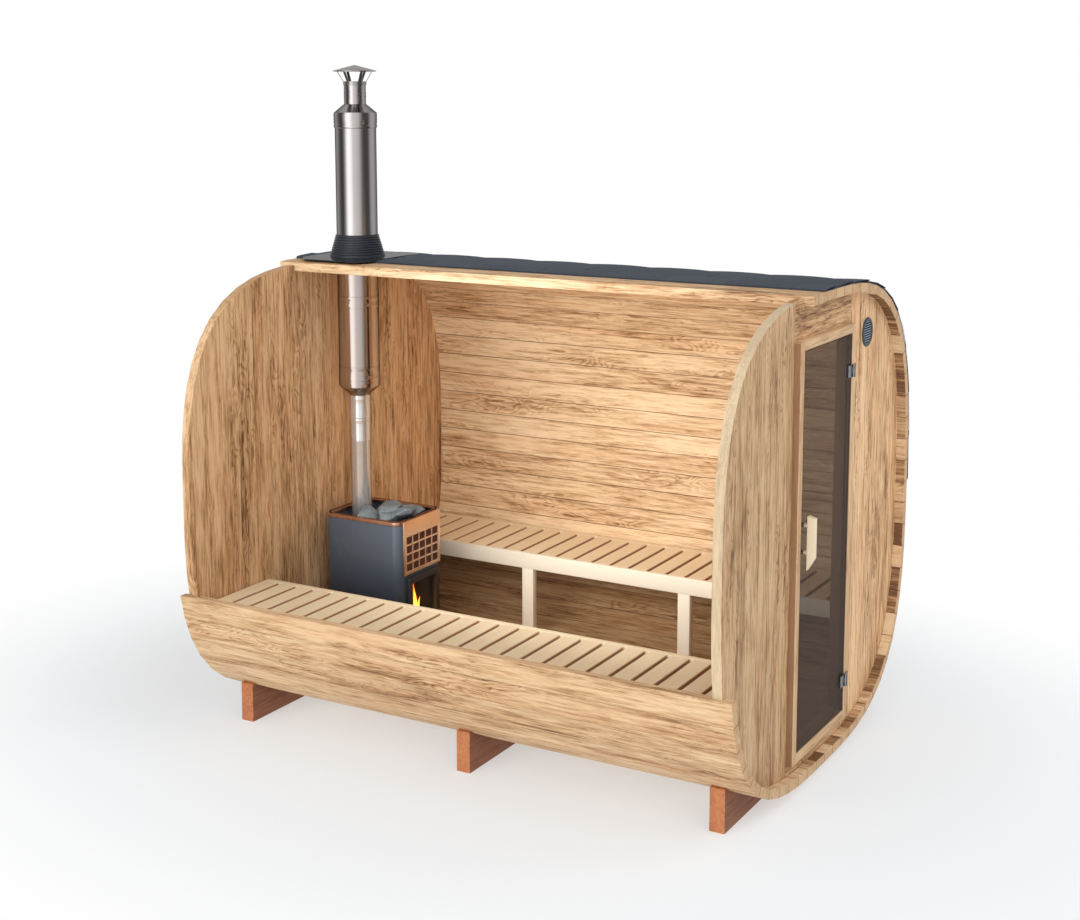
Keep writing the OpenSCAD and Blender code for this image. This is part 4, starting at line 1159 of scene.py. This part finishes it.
pipe, wide = pipeRadius, flueRadius  # the narrow and the wide pipe
axis = (flueX, 0)
pipeLow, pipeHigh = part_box("stove_pipe")
neckLow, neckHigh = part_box("flue_reducer")
wideLow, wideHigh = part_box("flue_pipe")
topLow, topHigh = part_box("flue_top")
collar = (topHigh.x - topLow.x) / 2 - 0.0003
spout = pipe + 0.003
flueParts = {  # by node: name, finish, closed profile
    "stove_pipe": ("lower_pipe", metals["pipe"], boredPipe(
        pipe, pipeLow.z, pipeHigh.z, 0.004, (0, 0), *(
            (out, up + pipeHigh.z - pipeLow.z, *ridge) for out, up, *ridge in (
                (0, -0.245, 0.0015, 0.005), (0, -0.165), (0.0022, -0.164), (0.0022, -0.135, 0.0018, 0.005),
                (0.0022, -0.117, 0.0018, 0.005), (0.0022, -0.020, 0.0018, 0.005))))),
    "flue_reducer": ("pipe_reducer", metals["flue"], [
        *profileFrom(pipe, neckLow.z, (0.0015, 0), (0.003, 0.006), (0.008, 0.012)),
        *profileFrom(wide, neckHigh.z, (-0.012, -0.013), (-0.005, -0.006), (-0.003, 0), (-0.016, 0)),
        *profileFrom(pipe, neckLow.z, (-0.004, 0.012), (-0.004, 0))]),
    "flue_pipe": ("wide_pipe", metals["flue"], boredPipe(
        wide, wideLow.z, wideHigh.z, 0.024, (-0.001, 0), (0.0013, 0.001), (0.0019, 0.003),
        (0.0019, 0.022, 0.0014, 0.007), (0.0019, 0.040, 0.0014, 0.007), (0.0019, 0.055), (0.0007, 0.057),
        (0.0007, 0.096), (0.0019, 0.098), (0.0019, 0.108), (0, 0.109), (0, 0.421), (0.0019, 0.422),
        (0.0019, 0.433, 0.0012, 0.005), (0.0019, 0.473, 0.0012, 0.005), (0.0019, 0.484), (0, 0.485))),
    "flue_top": ("pipe_end", metals["flue"], [
        (wide + 0.0005, topLow.z - 0.012),
        *profileFrom(collar, topLow.z, (-0.002, -0.010), (0, -0.006), (0, 0.002), (-0.002, 0.006),
                     (-0.002, 0.010), (0, 0.014), (0, 0.061), (-0.002, 0.069), (-0.008, 0.073)),
        *profileFrom(spout, topLow.z, (0.008, 0.106), (0.001, 0.111), (0, 0.114), (0, 0.153, 0.0014, 0.004),
                     (0, 0.168, 0.0014, 0.004)),
        *profileFrom(spout, topHigh.z, (0, -0.004), (0.0015, -0.002), (0, 0)),
        (pipe - 0.004, topHigh.z), (pipe - 0.004, topLow.z + 0.104),
        (wide - 0.024, topLow.z + 0.065), (wide - 0.024, topLow.z - 0.012)])}
for node, (name, finish, profile) in flueParts.items():
    standFor(addPiece(name, turned(profile, axis, closed=True), finish), node)

cap = {"sides": 32, "struts": 6, "strutWidth": 0.014, "strutThick": 0.0022, "skin": 0.0018, "tip": 0.012,
       "rise": 0.030, "inset": 0.020}
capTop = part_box("rain_cap")[1].z
rimZ, footZ = capTop - cap["rise"], topHigh.z
skin, tip, tipZ = cap["skin"], cap["tip"], capTop - 0.0022
hoodRim = profileFrom(collar, rimZ, (-0.002, 0.0012), (0, 0), (0, -0.004), (-skin, -0.004), (-0.003, -skin))
hood = turned([(0, capTop), (tip, tipZ), *hoodRim, (tip, tipZ - skin), (0, capTop - skin)], axis,
              cap["sides"])
tie = profileFrom(spout, footZ, (0, -0.022), (0.0015, -0.022), (0.0015, 0), (0, 0))
shapes = [hood, turned(tie, axis, 64, True)]
strutTop = collar - cap["inset"]
underHood = rimZ + cap["rise"] * (1 - strutTop / collar) - 0.003
low, high, thick = spout + 0.0016, strutTop, cap["strutThick"]
outline = [*profileFrom(low, footZ, (0, -0.018), (thick, -0.018), (thick, -0.002)),
           *profileFrom(high, underHood, (thick, -0.001), (0.012, -0.0045), (0.012, -0.0015),
                        (-0.001, 0.0015)), (low, footZ)]
for k in range(cap["struts"]):
    strut = extruded([(x, -cap["strutWidth"] / 2, z) for x, z in outline], (0, cap["strutWidth"], 0))
    turn = Matrix.Translation((flueX, 0, 0)) @ Matrix.Rotation((k + 0.5) * math.tau / cap["struts"], 4, "Z")
    bmesh.ops.transform(strut, matrix=turn, verts=strut.verts)
    shapes.append(strut)
standFor(addPiece("rain_hood", joined(shapes), metals["cap"]), "rain_cap", 24)

bootLow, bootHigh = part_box("flue_boot")
boot = {"ribs": 9, "height": 0.112, "spread": 0.032, "ribDepth": 0.0085, "lip": 0.0036}
ribPitch = boot["height"] / boot["ribs"]
bootRibs = []
for k in range(boot["ribs"]):
    rib = wide + boot["lip"] + boot["spread"] * (1 - k / boot["ribs"])
    foot = bootHigh.z - boot["height"] + k * ribPitch
    bootRibs += profileFrom(rib, foot, (0, 0.0003), (0, ribPitch * 0.40), (-0.0012, ribPitch * 0.52))
    bootRibs += profileFrom(rib - boot["ribDepth"], foot, (0.0008, ribPitch * 0.58), (0, ribPitch * 0.66),
                            (0, ribPitch * 0.88), (0.0006, ribPitch * 0.96))
sleeve = turned([(wide + 0.0003, bootHigh.z - 0.002), (wide + 0.0003, bootLow.z + 0.001),
                 (wide + boot["spread"] + 0.004, bootLow.z + 0.001), *bootRibs,
                 (wide + 0.0015, bootHigh.z - 0.001)], axis, closed=True)
standFor(addPiece("flue_sleeve", sleeve, finishes["boot"]), "flue_boot")
print("flue ready")

# roof cover
cover = {"thick": 0.012, "base": 0.004, "tabWidth": 0.3278, "tabGap": 0.003, "exposure": 2, "tabSteps": 6,
         "tabRows": [(0.02, 1.0), (0.12, 1.02), (1.0, 0.62), (2.0, 0.18), (2.3, 0.0)],  # joint, rise
         "tabThick": 0.0035, "lift": 0.0072, "crown": 0.0045, "plateThick": 0.004, "plateClip": 0.055}
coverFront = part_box("roof_cover")[0].y
lastCoverJoint = jointWhere(16, 21, lambda across, up: across > coverFront)


def flatSheet(outline, low, high, joints):  # in x and joint number, cut at the joints so that it bends
    sheet = extruded([(x, joint, low) for x, joint in outline], (0, 0, high - low))
    for joint in joints:
        bmesh.ops.bisect_plane(sheet, geom=sheet.verts[:] + sheet.edges[:] + sheet.faces[:],
                               plane_co=(0, joint, 0), plane_no=(0, 1, 0))
    return sheet


halfLength = hut["halfLength"]
corners = [(-halfLength, 0), (halfLength, 0), (halfLength, lastCoverJoint), (-halfLength, lastCoverJoint)]
under = addPiece("roof_underlay", flatSheet(corners, 0.0002, cover["base"], range(1, 18)))
onRoof = {"firstJoint": 0.0, "lastJoint": lastCoverJoint, "halfLength": halfLength,
          "material": finishes["shingle"]}
grow(under, "wrap", **onRoof)
cut(under, flueHole())
tagBoards(under, 3)
goWith(under, "roof_cover")

# one tab: thick at its lower edge, where it lies on the course below, with a slight crown
tabHalf = (cover["tabWidth"] - cover["tabGap"]) / 2
tab = bmesh.new()
rows = []
for joint, rise in cover["tabRows"]:
    rows.append([])
    for k in range(cover["tabSteps"] + 1):
        share = k / cover["tabSteps"] * 2 - 1
        nibble = 0.16 * abs(share) ** 6 if joint < 0.5 else 0.0
        height = cover["base"] + cover["lift"] * rise * 0.6 + cover["crown"] * (1 - share ** 2) * rise
        rows[-1].append([tab.verts.new((share * tabHalf, joint + nibble, height + up))
                         for up in (0, cover["tabThick"])])
for below, above in zip(rows, rows[1:]):
    for k in range(cover["tabSteps"]):
        for side in (0, 1):
            tab.faces.new((below[k][side], below[k + 1][side], above[k + 1][side], above[k][side]))
    for k in (0, -1):
        tab.faces.new((*below[k], *above[k][::-1]))
for row in (rows[0], rows[-1]):
    for k in range(cover["tabSteps"]):
        tab.faces.new((row[k][0], row[k + 1][0], row[k + 1][1], row[k][1]))
bmesh.ops.recalc_face_normals(tab, faces=tab.faces)
bmesh.ops.translate(tab, vec=(tabHalf - halfLength - cover["tabWidth"] / 2, 0, 0), verts=tab.verts)
tabs = addPiece("roof_shingles", tab)
grow(tabs, "repeat", columns=math.ceil(2 * halfLength / cover["tabWidth"]) + 1,
     rows=math.ceil(lastCoverJoint / cover["exposure"]),
     columnStep=(cover["tabWidth"], 0.0, 0.0), rowStep=(0.0, float(cover["exposure"]), 0.0),
     oddRowShift=(cover["tabWidth"] / 2, 0.0, 0.0), jitter=(0.0, 0.03, 0.0006), seed=4)
tagBoards(tabs, 7)
grow(tabs, "wrap", **onRoof)
flatten = bmesh.new()
flatten.from_mesh(tabs.data)
bmesh.ops.remove_doubles(flatten, verts=flatten.verts, dist=0.00002)
bmesh.ops.dissolve_degenerate(flatten, dist=0.00002, edges=flatten.edges)
flatten.to_mesh(tabs.data)
flatten.free()
standFor(tabs, "roof_cover", 25)

plateLow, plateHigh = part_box("flashing_plate")
firstPlate = jointWhere(18, 12, lambda across, up: across < plateHigh.y)
lastPlate = jointWhere(14, 20, lambda across, up: across > plateLow.y)
clip = cover["plateClip"]
clipJoints = clip / shell["jointWidth"]
x0, x1 = plateLow.x, plateHigh.x
outline = [(x0 + clip, firstPlate), (x1 - clip, firstPlate), (x1, firstPlate + clipJoints),
           (x1, lastPlate - clipJoints), (x1 - clip, lastPlate), (x0 + clip, lastPlate),
           (x0, lastPlate - clipJoints), (x0, firstPlate + clipJoints)]
bends = range(math.ceil(firstPlate), math.ceil(lastPlate))
thick = cover["thick"]
plate = addPiece("flashing_sheet", flatSheet(outline, thick - 0.001, thick + cover["plateThick"], bends))
grow(plate, "wrap", firstJoint=firstPlate, lastJoint=lastPlate, halfLength=halfLength,
     material=finishes["plate"])
cut(plate, flueHole())
standFor(plate, "flashing_plate")
print("roof ready")

# camera
view = {"place": (4.029, -7.111, 3.203), "turn": 0.516, "tilt": -0.147, "lens": 55.47,
        "shift": (-0.0100, -0.12)}
camera = bpy.data.objects.new("camera", bpy.data.cameras.new("camera"))
camera.data.lens = view["lens"]
camera.data.sensor_width = 36
camera.data.shift_x, camera.data.shift_y = view["shift"]
camera.location = view["place"]
camera.rotation_euler = (math.pi / 2 + view["tilt"], 0, view["turn"])
bpy.context.scene.collection.objects.link(camera)
bpy.context.scene.camera = camera

# studio
studio = {
    "lights": {  # where it shines from, its angle across in degrees, strength
        "front": ((-0.25, -1.0, 0.27), 44, 1.6),
        "frontRight": ((0.75, -1.0, 0.80), 60, 0.9),
        "side": ((1.0, 0.35, 0.95), 50, 0.95),
        "top": ((0.0, -0.25, 1.0), 80, 0.3)},
    "panel": {"place": (0.15, -0.95, 1.50), "aim": (0.15, 1.0, 1.45), "size": (1.8, 1.2), "watts": 14,
              "spread": 140},
    "sky": 0.32,
    "bands": [(0.0, 0.52), (0.042, 0.24), (0.089, 0.08), (0.134, 0.08), (0.173, 0.50), (0.206, 1.60),
              (0.239, 1.9), (0.273, 1.60), (0.306, 1.00), (0.373, 0.82), (0.406, 0.62), (0.438, 0.26),
              (0.473, 0.08), (0.548, 0.10), (0.595, 0.48), (0.648, 0.58), (0.72, 0.44), (0.80, 0.56),
              (0.98, 0.60), (1.0, 0.52)],  # brightness round the room, seen only in polished things
    "floorSize": 60.0, "floorTone": (0.85, 0.90, 0.95), "floorGlow": 0.45, "fade": (1.5, 3.1)}


def shine(name, kind, strength, way):  # a lamp that polished things don't mirror
    lamp = bpy.data.lights.new(name, kind)
    lamp.energy = strength
    lit = bpy.data.objects.new(name, lamp)
    lit.visible_glossy = False
    lit.rotation_euler = Vector(way).to_track_quat("Z", "Y").to_euler()
    bpy.context.scene.collection.objects.link(lit)
    return lit


for name, (way, spread, strength) in studio["lights"].items():
    shine(name, "SUN", strength, way).data.angle = math.radians(spread)
panel = studio["panel"]  # a soft light in the opening, for the room inside
lit = shine("panel", "AREA", panel["watts"], Vector(panel["place"]) - Vector(panel["aim"]))
lit.location = panel["place"]
lit.visible_camera = False
lit.data.shape = "RECTANGLE"
lit.data.size, lit.data.size_y = panel["size"]
lit.data.spread = math.radians(panel["spread"])

world = bpy.data.worlds.new("studio")
bpy.context.scene.world = world
world.use_nodes = True
sky = Tree(world.node_tree)
fromCamera = sky.make("ShaderNodeLightPath", output="Is Camera Ray")
polished = fromCamera.other("Is Glossy Ray")
east, north, _ = sky.split(sky.make("ShaderNodeTexCoord", output="Generated"))
azimuth = north.maths("ARCTAN2", east) / math.tau + 0.5
bands = sky.ramp(azimuth, *[(place, (tone, tone, tone)) for place, tone in studio["bands"]])
backdrop = world.node_tree.nodes["Background"]
backdrop.inputs["Color"].default_value = (1, 1, 1, 1)
plain = fromCamera * (1 - studio["sky"]) + studio["sky"]
sky.feed(backdrop.inputs["Strength"], plain + polished * (bands - studio["sky"]))

tree, place, paint = newMaterial("paleFloor", 0.9, 0.0, {"Base Color": (*studio["floorTone"], 1)})
ground = paint()
ownNodes = ground.node_tree.nodes
x, y, z = tree.split(place)
away = ((x * x) * 0.55 + (y * y)) ** 0.5
glow = tree.make("ShaderNodeEmission", inputs={"Strength": 1.0})
share = studio["floorGlow"] + tree.step(away, *studio["fade"]) * (1 - studio["floorGlow"])
matt = Wire(tree, ownNodes["Principled BSDF"].outputs[0])
blend = tree.make("ShaderNodeMixShader", inputs={0: share, 1: matt, 2: glow})
tree.feed(ownNodes["Material Output"].inputs["Surface"], blend)
sheet = bmesh.new()
bmesh.ops.create_grid(sheet, x_segments=1, y_segments=1, size=studio["floorSize"] / 2)
floorSheet = addPiece("studio_floor", sheet, ground)
floorSheet.visible_glossy = False
bpy.context.scene.view_settings.view_transform = "Standard"
print("studio ready")
